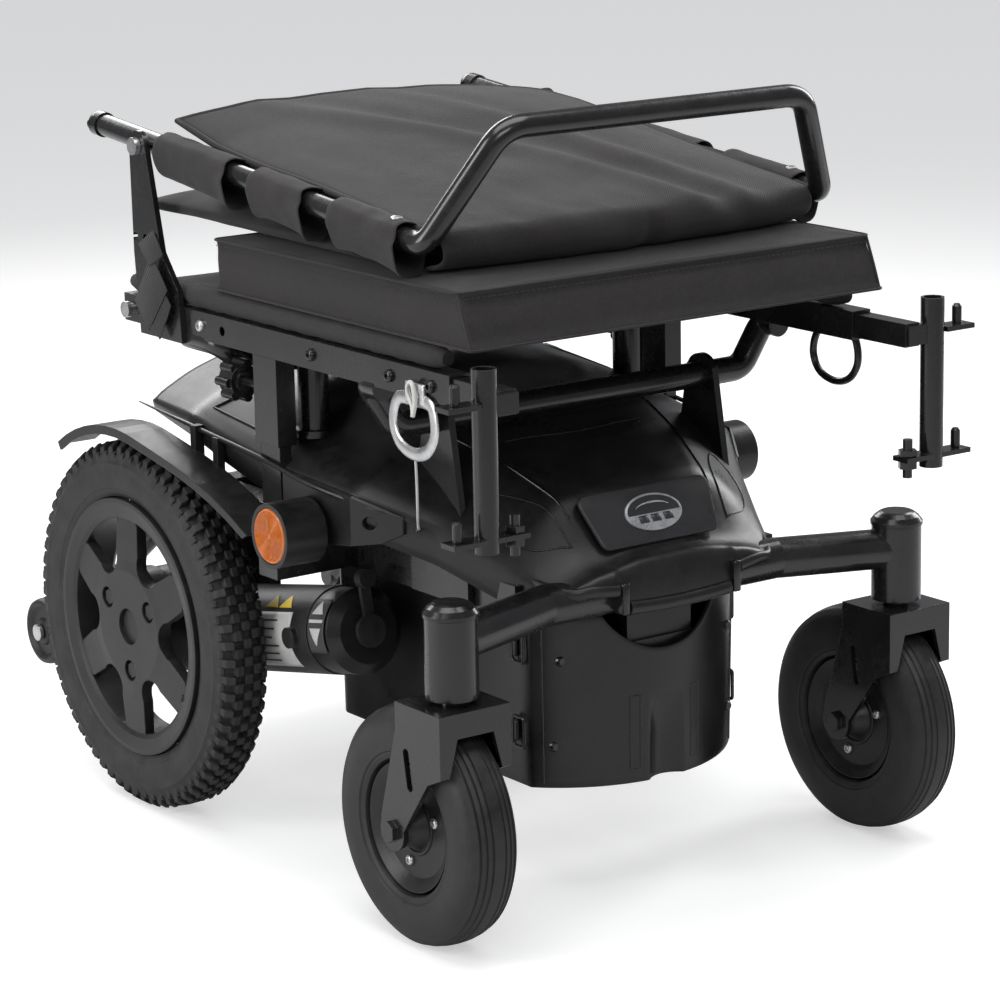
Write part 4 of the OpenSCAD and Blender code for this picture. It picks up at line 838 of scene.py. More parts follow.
@dataclass
class DriveWheel:
    """A knobbly pneumatic tyre on the spoked CAD rim, with its bolts and valve."""

    side: str
    centre: tuple[float, float, float] = (0.216, 0.12025, 0.164)
    crown: float = 0.1578
    lug_top: float = 0.1636
    half: float = 0.0246
    bead: float = 0.1147
    pitches: int = 66

    def build(self, shop: Workshop) -> None:
        """Builds the tyre, its tread and the rim's small parts."""
        k = SIDES[self.side]
        at = on_side(self.centre, k)
        body = f"drive_wheel_{self.side}"
        parts = [self._carcass(shop, at)]
        parts += self._tread(shop, at)
        tyre = shop.join(f"tyre_knobbly_{self.side}", parts)
        shop.fix(tyre, body, [f"drive_tyre_{self.side}"])
        bolts = shop.copies_on_ring(f"rim_bolts_{self.side}", hex_head(shop, "rim_bolt", 0.0042, 0.003, "zinc"),
            6, 0.0865, "zinc", at, math.radians(30), 0.0)
        push_out(bolts, 0.0128, k, at[0])
        shop.fix(bolts, body, ())
        valve = shop.tube(f"valve_{self.side}",
            smooth_route([(at[0] + k * 0.004, at[1] - 0.0935, at[2] - 0.052),
                (at[0] + k * 0.013, at[1] - 0.088, at[2] - 0.049),
                (at[0] + k * 0.021, at[1] - 0.083, at[2] - 0.0465)]), 0.0032, "rubber", 10)
        shop.fix(valve, body, ())

    def _carcass(self, shop: Workshop, at: Point) -> Thing:
        """Turns the tyre's body with its bead line and sidewall rings. Returns it."""
        h, b = self.half, self.bead
        side = [(0.0165, b), (0.0198, b + 0.0008), (0.0205, b + 0.003), (0.0222, b + 0.0062),
                (0.0224, b + 0.0076), (0.0232, b + 0.0086), (0.0243, b + 0.015), (h, b + 0.0225),
                (0.0242, b + 0.028), (0.0245, b + 0.029), (0.0244, b + 0.0306), (0.0238, b + 0.0315),
                (0.0226, 0.1497), (0.0216, 0.1522), (0.0182, 0.1550), (0.0130, 0.1569), (0.0066, self.crown),
                (0, self.crown)]
        profile = both_halves(side)
        return shop.turned(f"carcass_{self.side}", profile, at, Axis.X, "tyre", 120, 0.5)

    def _tread(self, shop: Workshop, at: Point) -> list[Thing]:
        """Sets the rows of rubber blocks round the tyre. Returns them."""
        def block(name: str, length: float, width: float, low: float, high: float, lean: float) -> Thing:
            """Makes one tread block, tapered, with its outward side along +Y."""
            bm = bmesh.new()
            bmesh.ops.create_cube(bm, size=1.0)
            for v in bm.verts:
                top = v.co.y > 0
                shrink = 0.84 if top else 1.0
                drop = lean * v.co.x * width if top else 0
                v.co = Vector((v.co.x * width * shrink, (high if top else low) - drop,
                    v.co.z * length * shrink))
            bmesh.ops.bevel(bm, geom=list(bm.edges), offset=0.0005, segments=1, affect="EDGES")
            return shop.seed_shape(shop.object(name, bm, "tyre", 0.3))

        step = TAU / self.pitches
        r = self.crown
        deep = self.lug_top - r
        rows = (  # name, distance from the middle, phase, length, width, foot, top, lean
            ("centre", 0.0, 0.0, 0.0092, 0.0082, -0.002, deep, 0.0),
            ("mid", 0.0084, 0.5, 0.0098, 0.0078, -0.003, deep - 0.0006, 0.08),
            ("edge", 0.0170, 0.0, 0.0078, 0.0085, -0.006, deep - 0.0022, 0.55),
            ("skirt", 0.0216, 0.5, 0.0066, 0.0034, -0.0165, -0.0030, 0.6),
        )
        return [shop.copies_on_ring(f"row_{name}_{way}_{self.side}",
            block(f"block_{name}_{way}", *shape, way * lean), self.pitches, r, "tyre", at, phase * step,
            way * off) for name, off, phase, *shape, lean in rows for way in ((1, -1) if off else (1,))]


def push_out(ring: Thing, out: float, way: int, middle: float) -> None:
    """Moves a ring of copies out along X from the plane X = middle; way -1 mirrors it there."""
    move = Matrix.Translation((out, 0, 0))
    if way < 0:
        move = Matrix.Translation((2 * middle, 0, 0)) @ Matrix.Diagonal((-1, 1, 1, 1)) @ move
    ring.data.transform(move)
    face_out(ring)


def face_out(piece: Thing) -> None:
    """Merges a piece's doubles and turns its faces outwards."""
    bm = bmesh.new()
    bm.from_mesh(piece.data)
    bmesh.ops.remove_doubles(bm, verts=bm.verts, dist=TINY)
    bmesh.ops.recalc_face_normals(bm, faces=bm.faces)
    bm.to_mesh(piece.data)
    bm.free()


@dataclass
class Caster:
    """A smooth ribbed solid tyre on the CAD rim and fork, with its bolts and hub cover."""

    side: str
    centre: tuple[float, float, float] = (0.2285, -0.32175, 0.0975)
    radius: float = 0.0974
    half: float = 0.0248
    bead: float = 0.0545

    def build(self, shop: Workshop) -> None:
        """Builds the caster's tyre, rim bolts and hub covers."""
        k = SIDES[self.side]
        at = on_side(self.centre, k)
        body = f"caster_wheel_{self.side}"
        h, r, b = self.half, self.radius, self.bead
        groove = 0.0013
        side = [(0.0180, b), (0.0212, b + 0.0012), (0.0226, b + 0.0045), (0.0224, b + 0.0062),
                (0.0236, b + 0.0072), (h, b + 0.0170), (0.0246, b + 0.0215), (0.0236, r - 0.0125),
                (0.0232, r - 0.0118), (0.0226, r - 0.0100), (0.0204, r - 0.0068), (0.0182, r - 0.0046)]
        for x, y in ((0.0160, 0.0030), (0.0110, 0.0012), (0.0058, 0.0002)):
            side += [(x + 0.0011, r - y - 0.0002), (x + 0.0004, r - y - groove), (x - 0.0004, r - y - groove),
                     (x - 0.0011, r - y)]
        side.append((0, r))
        profile = both_halves(side)
        tyre = shop.turned(f"tyre_ribbed_{self.side}", profile, at, Axis.X, "rubber", 112, 0.5)
        shop.fix(tyre, body, [f"caster_tyre_{self.side}"])
        head = hex_head(shop, "caster_bolt", 0.0045, 0.0032, "zinc")
        parts = []
        for way in (-1, 1):
            ring = shop.copies_on_ring(f"caster_bolts_{way}_{self.side}", head, 3, 0.0305, "zinc", at,
                math.radians(-78), 0.0)
            push_out(ring, 0.0122, way, at[0])
            parts.append(ring)
        bolts = shop.join(f"caster_bolts_{self.side}", parts)
        shop.fix(bolts, body, ())
        disc_profile = [(0.0119, 0.0205), (0.0131, 0.0215), (0.0131, 0.0235), (0.0119, 0.0245)]
        rings = [shop.turned(f"rib_{n}_{self.side}", [(way * a, q) for a, q in disc_profile], at, Axis.X,
            "wheel_rim", 64) for n, way in enumerate((-1, 1))]
        ribs = shop.join(f"caster_ribs_{self.side}", rings)
        shop.fix(ribs, body, ())


@dataclass
class AntiTipWheel:
    """The small rear wheel's grooved tyre."""

    side: str
    centre: tuple[float, float, float] = (0.172, 0.38725, 0.092)
    radius: float = 0.0319
    half: float = 0.0118

    def build(self, shop: Workshop) -> None:
        """Builds the wheel with its hub, web and two-groove tread."""
        k = SIDES[self.side]
        at = on_side(self.centre, k)
        r, h = self.radius, self.half
        side = [(h - 0.0004, 0.0047), (h - 0.0004, 0.0100), (h - 0.0012, 0.0116), (0.0082, 0.0132),
                (0.0078, r - 0.0098), (h - 0.0010, r - 0.0072), (h, r - 0.0052), (h - 0.0012, r - 0.0016),
                (0.0074, r - 0.0004), (0.0046, r), (0.0040, r - 0.0010), (0.0028, r - 0.0010), (0.0022, r),
                (0, r)]
        profile = both_halves(side)
        wheel = shop.turned(f"roller_{self.side}", profile, at, Axis.X, "rubber", 56, 0.5)
        shop.fix(wheel, f"anti_tip_wheel_{self.side}", [f"anti_tip_wheel_{self.side}"])


# Upholstery -------------------------------------------------------------------


def blend_rows(rows: Sequence[tuple[float, ...]], t: float) -> tuple[float, ...]:
    """Reads a table of rows by its first column, with smooth steps between rows.

    Args:
        rows: rows in rising order of the first column.
        t: where to read.

    Returns:
        The other columns at t.
    """
    for a, b in zip(rows, rows[1:]):
        if t <= b[0] or b is rows[-1]:
            f = min(max((t - a[0]) / (b[0] - a[0]), 0.0), 1.0)
            return tuple(p + (q - p) * f for p, q in zip(a[1:], b[1:]))
    return rows[-1][1:]


def ripple(p: Vector, scale: float, seed: float) -> float:
    """Returns smooth noise from -1 to 1 at p."""
    return noise.noise(Vector((p.x * scale + seed, p.y * scale - seed, p.z * scale)))


def stitch_shape(shop: Workshop, length: float = 0.0032) -> Thing:
    """Makes one sewn stitch, lying along Z, for a path tree."""
    bm = bmesh.new()
    bmesh.ops.create_cube(bm, size=1.0)
    for v in bm.verts:
        v.co = Vector((v.co.x * 0.0008, v.co.y * 0.0008, v.co.z * length))
    bmesh.ops.bevel(bm, geom=list(bm.edges), offset=0.0002, segments=1, affect="EDGES")
    return shop.seed_shape(shop.object("stitch", bm, "webbing"))


@dataclass
class SeatCushion:
    """The boxed foam cushion with its raked front, sewn borders and soft crown."""

    half: float = 0.2075
    rear: float = 0.004
    front_low: float = -0.3655
    front_high: float = -0.3465
    low: float = 0.4744
    high: float = 0.5190
    crown: float = 0.0035
    cap: float = 0.006

    def outline(self, z: float, inset: float = 0.0) -> tuple[float, float]:
        """Returns the front and rear Y of the cushion's border at height z."""
        f = (z - self.low) / (self.high - self.low)
        return self.front_low + (self.front_high - self.front_low) * f + inset, self.rear - inset

    def build(self, shop: Workshop) -> None:
        """Builds the cushion, its piping and its stitches."""
        pad = self._pad(shop)
        shop.fix(pad, "base", ["seat_cushion"])
        seams = [shop.tube(f"seam_{n}", self._border(z, 0.0004), 0.0011, "woven_black", 8, closed=True)
                 for n, z in enumerate((self.high - 0.0012, self.low + 0.0016))]
        route = self._border(self.high - 0.0062, -0.0006)
        sewn = shop.copies_on_path("cushion_stitches", stitch_shape(shop), [*route, route[0]], 0.0052,
            "webbing", 0.1)
        for k in (-1, 1):
            front_top, _ = self.outline(self.high - 0.003)
            front_low, _ = self.outline(self.low + 0.003)
            line = smooth_route([(k * (self.half - 0.0022), front_top + 0.0022, self.high - 0.002),
                (k * (self.half - 0.0020), (front_top + front_low) / 2 + 0.0020, (self.high + self.low) / 2),
                (k * (self.half - 0.0022), front_low + 0.0022, self.low + 0.002)], 6)
            seams.append(shop.tube(f"corner_seam_{k}", line, 0.0012, "woven_black", 8))
        piping = shop.join("cushion_seams", seams)
        shop.fix(piping, "base", ())
        shop.fix(sewn, "base", ())

    def _border(self, z: float, out: float) -> list[Vector]:
        """Returns the closed line round the cushion at height z, pushed out a little, its corners rounded."""
        front, rear = self.outline(z)
        r, points = 0.006, []
        for cx, cy, start in ((self.half - r, rear - r, 0.0), (-self.half + r, rear - r, math.pi / 2),
                (-self.half + r, front + r, math.pi), (self.half - r, front + r, 1.5 * math.pi)):
            for k in range(6):
                a = start + math.pi / 2 * k / 5
                points.append(Vector((cx + (r + out) * math.cos(a), cy + (r + out) * math.sin(a), z)))
        dense: list[Vector] = []
        for a, b in zip(points, points[1:] + points[:1]):
            steps = max(1, int((b - a).length / 0.012))
            dense += [a.lerp(b, k / steps) for k in range(steps)]
        return dense

    def _pad(self, shop: Workshop) -> Thing:
        """Makes the foam form, swells it with the cloth solver and eases it back. Returns it."""
        nx, ny, nz = 44, 40, 7
        bm = bmesh.new()
        grid: dict[tuple[int, int, int], bmesh.types.BMVert] = {}

        def at(i: int, j: int, k: int) -> bmesh.types.BMVert:
            """Returns the surface vertex at a grid place, made on first use."""
            if (i, j, k) not in grid:
                z = self.low + (self.high - self.low) * k / nz
                front, rear = self.outline(z)
                u, w = (t - 0.65 * math.sin(TAU * t) / TAU for t in (i / nx, j / ny))
                grid[i, j, k] = bm.verts.new((-self.half + 2 * self.half * u, front + (rear - front) * w, z))
            return grid[i, j, k]

        for i in range(nx):
            for j in range(ny):
                for k in (0, nz):
                    bm.faces.new((at(i, j, k), at(i + 1, j, k), at(i + 1, j + 1, k), at(i, j + 1, k)))
        for k in range(nz):
            for i in range(nx):
                for j in (0, ny):
                    bm.faces.new((at(i, j, k), at(i + 1, j, k), at(i + 1, j, k + 1), at(i, j, k + 1)))
            for j in range(ny):
                for i in (0, nx):
                    bm.faces.new((at(i, j, k), at(i, j + 1, k), at(i, j + 1, k + 1), at(i, j, k + 1)))
        pad = shop.object("seat_cushion_pad", bm, "woven_black", ALL_SMOOTH)
        base = [v.co.copy() for v in pad.data.vertices]
        swell(pad, 3.0, 14)
        for v, start in zip(pad.data.vertices, base):
            edge_x, edge_z = self.half - abs(start.x), min(start.z - self.low, self.high - start.z)
            front, rear = self.outline(start.z)
            edge_y = min(start.y - front, rear - start.y)
            moved = v.co - start
            if moved.length > self.cap:
                moved *= self.cap / moved.length
            hold = min(1.0, min(edge_x, edge_y) / 0.03) if start.z > self.high - 1e-5 else 1.0
            moved *= 0.25 + 0.3 * hold if start.z > self.low + 1e-5 else 0.0
            p = start + moved
            if start.z > self.high - 1e-5:
                u, w = start.x / self.half, (start.y - front) / (rear - front) * 2 - 1
                p.z += self.crown * (1 - u * u) * (1 - w ** 4) + 0.0009 * ripple(start, 16, 3.0) * hold - 0.0006
            elif edge_z > 1e-5:
                side = Vector((math.copysign(1, start.x), 0, 0)) if edge_x < 1e-5 else Vector((0,
                    -1 if start.y < -0.1 else 1, 0))
                p += side * (0.0016 * math.sin(math.pi * edge_z / (self.high - self.low))
                             + 0.0011 * ripple(start, 22, 9.0) - 0.0012)
            v.co = p
        return shop.subdivide(pad, 1)


def swell(piece: Thing, pressure: float, frames: int) -> None:
    """Blows a closed cloth form up a little with the cloth solver and keeps the result.

    Args:
        piece: the closed mesh.
        pressure: the solver's pressure.
        frames: how many frames to run.
    """
    scene = bpy.context.scene
    mod = piece.modifiers.new("cloth", "CLOTH")
    cloth = mod.settings
    cloth.quality, cloth.mass = 5, 0.4
    cloth.tension_stiffness, cloth.shear_stiffness, cloth.bending_stiffness = 30, 20, 2.0
    cloth.use_pressure, cloth.uniform_pressure_force = True, pressure
    cloth.effector_weights.gravity = 0
    mod.point_cache.frame_start, mod.point_cache.frame_end = 1, frames
    for f in range(1, frames + 1):
        scene.frame_set(f)
    graph = bpy.context.evaluated_depsgraph_get()
    shaped = piece.evaluated_get(graph)
    places = [v.co.copy() for v in shaped.data.vertices]
    piece.modifiers.remove(mod)
    for v, p in zip(piece.data.vertices, places):
        v.co = p
    scene.frame_set(1)


@dataclass
class FoldedBack:
    """The folded backrest: loose top flap, padding, and the sleeves that hold it on the canes."""

    pivot: tuple[float, float, float] = (0.0, 0.10575, 0.587)
    cane_x: float = 0.2
    cane_r: float = 0.0095
    sleeves: tuple[tuple[float, float], ...] = ((0.086, -0.026), (-0.063, -0.141), (-0.180, -0.274))
    flap_rows: tuple[tuple[float, ...], ...] = (
        # share of the way to the front: Y near, Z near, Z middle, Z far, Y far
        (0.0, 0.078, 0.6105, 0.6190, 0.6025, 0.080),
        (0.16, 0.018, 0.5935, 0.6150, 0.5985, 0.020),
        (0.32, -0.046, 0.5840, 0.6080, 0.5900, -0.044),
        (0.55, -0.128, 0.5760, 0.5960, 0.5780, -0.125),
        (0.78, -0.212, 0.5660, 0.5800, 0.5655, -0.210),
        (0.92, -0.272, 0.5610, 0.5670, 0.5585, -0.268),
        (1.0, -0.298, 0.5560, 0.5600, 0.5540, -0.290),
    )

    def cane_z(self, y: float) -> float:
        """Returns the height of the cane's axis at y."""
        return self.pivot[2] - (self.pivot[1] - y) * math.tan(SLOPE)

    def build(self, shop: Workshop) -> None:
        """Builds the flap, the padding and the sleeves, all on the backrest."""
        flap = self._flap(shop)
        shop.fix(flap, "backrest", ["back_panel"])
        hem = self._flap_hem(shop)
        shop.fix(hem, "backrest", ())
        pad = self._padding(shop)
        shop.fix(pad, "backrest", ["back_upholstery"])
        shop.fix(self._cover(shop), "backrest", ())
        tubes = [self._sleeve(shop, k, n, span) for k in (-1, 1) for n, span in enumerate(self.sleeves)]
        sleeves = shop.join("cane_sleeves_cloth", tubes)
        shop.fix(sleeves, "backrest", ["cane_sleeves"])
        snaps = [shop.turned(f"snap_{k}", [(0, 0), (0, 0.0048), (0.0012, 0.0046), (0.0022, 0.003), (0.0026, 0)],
            (k * 0.2, -0.258, self.cane_z(-0.258) + self.cane_r + 0.0036), Axis.Z, "zinc", 20) for k in (-1, 1)]
        shop.fix_all("sleeve_snaps", snaps, "backrest", ())

    def flap_point(self, u: float, t: float) -> Vector:
        """Returns the flap's top surface at u across (-1 near, 1 far) and t from rear to front."""
        y_near, z_near, z_mid, z_far, y_far = blend_rows(self.flap_rows, t)
        f = (u + 1) / 2
        z = (z_near * (1 - f) + z_far * f) + (z_mid - (z_near + z_far) / 2) * (1 - abs(u) ** 2.6)
        y = y_near * (1 - f) + y_far * f
        reach = (0.1935 - 0.006 * math.sin(math.pi * t)) * (1.0 - 0.05 * max(0.0, t - 0.8) * abs(u))
        front_bow = -0.020 * (1 - u * u) * max(0.0, (t - 0.6) / 0.4) ** 2
        p = Vector((u * reach, y + front_bow, z))
        fold = 0.0054 * math.exp(-((f - 0.20 - 0.45 * t)
            / 0.05) ** 2) - 0.0044 * math.exp(-((f - 0.30 - 0.42 * t) / 0.06) ** 2)
        fold += 0.0050 * math.exp(-((f - 0.50 - 0.28 * t)
            / 0.05) ** 2) - 0.0036 * math.exp(-((f - 0.58 - 0.25 * t) / 0.06) ** 2)
        fold += 0.0018 * ripple(Vector((p.x, p.y * 0.45, 0)), 30, 1.7) + 0.0010 * ripple(Vector((p.x, p.y, 0)),
            75, 4.2) * t
        p.z += fold * min(1.0, (1 - abs(u)) * 6) * min(1.0, 0.25 + t * 2)
        return p

    def _flap(self, shop: Workshop) -> Thing:
        """Makes the flap: a broad soft sheet that folds over at the front and tucks under. Returns it."""
        nu, nt = 56, 44
        rows: list[Ring] = [[self.flap_point(-1 + 2 * i / nu, j / nt) for i in range(nu + 1)]
            for j in range(nt + 1)]
        front = rows[-1]
        drop = ((0.0055, 0.0040), (0.0085, 0.0125), (0.0075, 0.0220), (0.0010, 0.0300), (-0.0090, 0.0350),
                (-0.0220, 0.0375))
        for out, down in drop:
            ring = []
            for i, p in enumerate(front):
                u = -1 + 2 * i / nu
                room = (p.z - 0.5232) / 0.0375
                puff = 1 + 0.5 * ripple(Vector((p.x, 0.3, down)), 26, 6.1)
                notch = 0.006 * math.exp(-((u - 0.02) / 0.035) ** 2) * min(1.0, down / 0.02)
                ring.append(Vector((p.x * (1 - 0.02 * abs(u) * down / 0.03), p.y - out * puff + notch,
                    p.z - down * room)))
            rows.append(ring)
        flap = shop.sheet("back_flap", rows, "woven_black")
        up = sum(f.normal.z > 0 for f in flap.data.polygons) >= len(flap.data.polygons) / 2
        return shop.subdivide(shop.thicken(flap, 0.0042, -1.0 if up else 1.0), 1)

    def _flap_hem(self, shop: Workshop) -> Thing:
        """Makes the sewn edge round the flap's free sides. Returns it."""
        path = [self.flap_point(-1, t / 20) for t in range(20, -1, -1)] + [self.flap_point(-1 + u / 12, 0)
            for u in range(1, 24)] + [self.flap_point(1, t / 20) for t in range(21)]
        return shop.tube("flap_hem", [p - Vector((0, 0, 0.002)) for p in path], 0.0027, "woven_black", 10)

    def _padding(self, shop: Workshop) -> Thing:
        """Makes the soft padded panel that lies on the cushion under the canes. Returns it."""
        rows = ((-0.262, 0.5205, 0.5285, 0.188), (-0.20, 0.5205, 0.5330, 0.193),
                (-0.10, 0.5210, 0.5400, 0.1955), (0.0, 0.5215, 0.5435, 0.196), (0.06, 0.5220, 0.5460, 0.196),
                (0.12, 0.5215, 0.5430, 0.194), (0.15, 0.5240, 0.5370, 0.188))
        rings = []
        for j in range(41):
            t = -0.264 + 0.416 * j / 40
            low, high, half = blend_rows(rows, t)
            end = min(1.0, ((t + 0.2645) / 0.012), ((0.1525 - t) / 0.012))
            mid, tall = (low + high) / 2, (high - low) / 2 * math.sqrt(max(0.05, 1 - (1 - end) ** 2))
            ring = []
            for a, b in superellipse(half - 0.004 * (1 - end), tall, 3.2, 72):
                p = Vector((a, t, mid + b))
                p += Vector((0, 0, 1)) * 0.0016 * ripple(p, 18,
                    2.0) * (1 if b > 0 else 0) + Vector((math.copysign(1, a), 0, 0)) * 0.0014 * ripple(p, 34,
                        8.0)
                ring.append(p)
            rings.append(ring)
        return shop.subdivide(shop.loft("back_padding", rings, "woven_black", smooth=ALL_SMOOTH), 1)

    def _cover(self, shop: Workshop) -> Thing:
        """Makes the dark body of folded cover between the canes, under the flap. Returns it."""
        rings = []
        for j in range(25):
            t = j / 24
            y = 0.066 - 0.338 * t
            top = min(self.flap_point(u, min(1.0, max(0.0, (0.078 - y) / 0.376))).z
                      for u in (-0.96, 0, 0.96)) - 0.0105
            low = 0.5445 - 0.016 * t
            ring = []
            for a, b in superellipse(0.181, max(0.004, (top - low) / 2), 5.0, 48):
                p = Vector((a, y, (top + low) / 2 + b))
                p.x += 0.0022 * ripple(p, 24, 5.0)
                ring.append(p)
            rings.append(ring)
        return shop.subdivide(shop.loft("folded_cover", rings, "woven_black", smooth=ALL_SMOOTH), 1)

    def _sleeve(self, shop: Workshop, k: int, n: int, span: tuple[float, float]) -> Thing:
        """Makes one cloth sleeve that wraps a cane and hangs below it, open at both mouths. Returns it."""
        rings = []
        steps, m = 18, 36
        for j in range(steps + 1):
            t = j / steps
            y = span[0] + (span[1] - span[0]) * t
            hang = blend_rows(((-0.28, 0.0235), (-0.1, 0.0235), (0.06, 0.0225), (0.09, 0.0200)), y)[0]
            mouth = 1 + 0.10 * math.exp(-t * steps / 2.0) + 0.22 * math.exp(-(1 - t) * steps / 2.5)
            outline = ((0.0, 0.0128), (0.0095, 0.0095), (0.0128, 0.0), (0.0118, -0.010),
                       (0.0086, -hang + 0.003), (0.0030, -hang), (-0.0065, -hang + 0.0015), (-0.0125, -0.011),
                       (-0.0128, 0.0), (-0.0095, 0.0095))
            closed = smooth_route([*(Vector((a, 0, b)) for a, b in outline),
                Vector((outline[0][0], 0, outline[0][1]))], 5)[:-1]
            ring = []
            for q in [closed[int(i * len(closed) / m)] for i in range(m)]:
                p = Vector((k * (self.cane_x + q.x * (mouth if q.z < 0.002 else 1)),
                            y + q.z * 0.10 + 0.004 * math.sin(4 * q.x / 0.013) * (t - 0.5),
                            self.cane_z(y) + q.z * (mouth if q.z < 0 else 1)))
                p += Vector((k * 0.0013 * ripple(p, 46, 3.0 + n), 0, 0.0011 * ripple(p, 60, 7.0 + n)))
                ring.append(p)
            rings.append(ring)
        sleeve = shop.loft(f"sleeve_{n}_{k}", rings, "woven_black", caps=False, smooth=ALL_SMOOTH)
        return shop.subdivide(shop.thicken(sleeve, 0.0016, 1.0), 1)


@dataclass
class SeatSling:
    """The fabric deck under the cushion, rolled over a rod along each rail."""

    rail_x: float = 0.202
    roll_z: float = 0.46455
    roll_r: float = 0.0091
    front: float = -0.3265
    rear: float = 0.1450

    def build(self, shop: Workshop) -> None:
        """Builds the two rolled edges and the deck stretched between them."""
        parts = []
        for k in (-1, 1):
            route = [Vector((k * (self.rail_x + 0.0006 * math.sin(t * 9)),
                self.front + (self.rear - self.front) * t / 40, self.roll_z + 0.0004 * math.sin(t * 2.2)))
                     for t in range(41)]
            parts.append(shop.tube(f"roll_{k}", route,
                lambda s: self.roll_r * (0.62 if s < 0.012 or s > 0.988 else 1.0), "woven_black", 20))
        rings = []
        for j in range(25):
            y = self.front + 0.021 + (self.rear - self.front - 0.070) * j / 24
            sag = [Vector((x / 20 * self.rail_x, y,
                self.roll_z + self.roll_r - 0.0014 - 0.0012 * (1 - (x / 20) ** 2))) for x in range(-20, 21)]
            rings.append(sag + [p - Vector((0, 0, 0.0024)) for p in reversed(sag)])
        deck = shop.loft("seat_sling_deck", rings, "woven_black", smooth=ALL_SMOOTH)
        shop.fix(deck, "base", ["seat_sling"])
        rolls = shop.join("seat_sling_rolls", parts)
        shop.fix(rolls, "base", ())


@dataclass
class BeltEnd:
    """The lap belt's end, folded to a point round the lower bolt of each back plate."""

    def build(self, shop: Workshop) -> None:
        """Builds both belt ends as layered webbing."""
        parts = []
        x0 = 0.2226
        for k in (-1, 1):
            layers = (
                ((0.049, 0.457), (0.070, 0.425), (0.104, 0.462), (0.083, 0.494)),
                ((0.052, 0.470), (0.086, 0.431), (0.108, 0.455), (0.074, 0.496)),
                ((0.078, 0.488), (0.096, 0.505), (0.070, 0.520), (0.055, 0.500)),
            )
            for n, quad in enumerate(layers):
                x = k * (x0 + 0.0012 * n + 0.0008)
                outline = [(x, y, z) for y, z in quad]
                parts.append(shop.slab(f"belt_{n}_{k}", outline, (k * 0.0013, 0, 0), "webbing", 0.0005, 1))
        belt = shop.join("belt_ends", parts)
        if not belt.data.uv_layers:
            belt.data.uv_layers.new(name="UVMap")
        layer = belt.data.uv_layers.active.data
        for loop in belt.data.loops:
            co = belt.data.vertices[loop.vertex_index].co
            layer[loop.index].uv = (co.y * 0.77 + co.z * 0.64, co.z * 0.77 - co.y * 0.64)
        shop.fix(belt, "base", ["belt_webbing"])


# Body shell, tubes and fittings ------------------------------------------------------


@dataclass
class BentTubes:
    """The smooth bent tubes: push bar, seat tubes, anti-tip arms and rear wire loops."""

    pivot: tuple[float, float] = (0.10575, 0.587)
    seat_tubes: tuple[tuple[tuple[float, float, float], ...], ...] = (
        ((0.203, -0.23875, 0.429), (0.203, -0.21675, 0.429), (0.178, -0.21675, 0.3915)),
        ((0.203, 0.05525, 0.429), (0.203, 0.00525, 0.429), (0.178, 0.00525, 0.408)),
    )

    def cane(self, x: float, y: float, z: float) -> Vector:
        """Turns a point of the upright back into its folded place."""
        c, s = math.cos(SLOPE), math.sin(SLOPE)
        return Vector((x, self.pivot[0] + y * c - z * s, self.pivot[1] + y * s + z * c))

    def build(self, shop: Workshop) -> None:
        """Builds the tubes on their bodies."""
        y0 = -0.403
        bar = [self.cane(x, y0 + a, z) for x, a, z in ((0.2, 0.0257, 0), (0.2, 0, 0),
            (0.149, -0.02646, 0.09228), (-0.149, -0.02646, 0.09228), (-0.2, 0, 0), (-0.2, 0.0257, 0))]
        push = shop.tube("push_bar_tube", rounded_route(bar, 0.032, 12), 0.0095, "painted_tube", 32)
        shop.fix(push, "backrest", ["push_bar"])
        tubes = []
        for n, (end, front, side) in enumerate(self.seat_tubes):
            route = [Vector(front), Vector(side), Vector((-side[0], side[1], side[2])),
                     Vector((-front[0], front[1], front[2]))]
            route = [Vector(end), *route, Vector((-end[0], end[1], end[2]))]
            tubes.append(shop.tube(f"seat_tube_{n}", rounded_route(route, 0.020 if n == 0 else 0.016, 10),
                0.011, "painted_tube", 32))
        shop.fix_all("seat_tubes", tubes, "base", ["seat_cross_tubes"])
        arms, loops = [], []
        for k in (-1, 1):
            path = both_ways(((0.122, 0.18355, 0.22028), (0.128, 0.24225, 0.21428), (0.145, 0.32725, 0.142),
                (0.148, 0.38725, 0.092)), k)
            arms.append(shop.tube(f"arm_{k}", rounded_route(path, 0.03, 10), 0.008, "painted_tube", 24))
            arms.append(shop.turned(f"arm_boss_{k}",
                [(-0.008, 0), (-0.008, 0.0095), (-0.007, 0.010), (0.007, 0.010), (0.008, 0.0095), (0.008, 0)],
                (k * 0.148, 0.38725, 0.092), Axis.X, "painted_tube", 32))
            arms.append(shop.turned(f"arm_pin_{k}",
                [(0, 0), (0, 0.004), (k * 0.037, 0.004), (k * 0.0372, 0.008), (k * 0.0405, 0.0078),
                 (k * 0.041, 0.006), (k * 0.041, 0)], (k * 0.148, 0.38725, 0.092), Axis.X, "zinc", 24))
            for x0, z0, x1, z1, dx in ((0.086, 0.3937, 0.128, 0.3859, 0.038),
                    (0.020, 0.3966, 0.062, 0.3959, 0.038)):
                path = both_ways(((x0, 0.11825, z0), (x0 + 0.004, 0.12825, z0 + 0.017),
                    (x0 + dx, 0.12825, z0 + 0.017), (x1, 0.11825, z1)), k)
                loops.append(shop.tube(f"loop_{k}_{x0}", rounded_route(path, 0.006, 8), 0.0025, "painted_tube",
                    12))
        shop.fix_all("anti_tip_tubes", arms, "base", ["anti_tip_arms"])
        shop.fix_all("rear_loops", loops, "base", ["rear_wire_loops"])


RISE = 0.0524  # length of the hood panel's slope


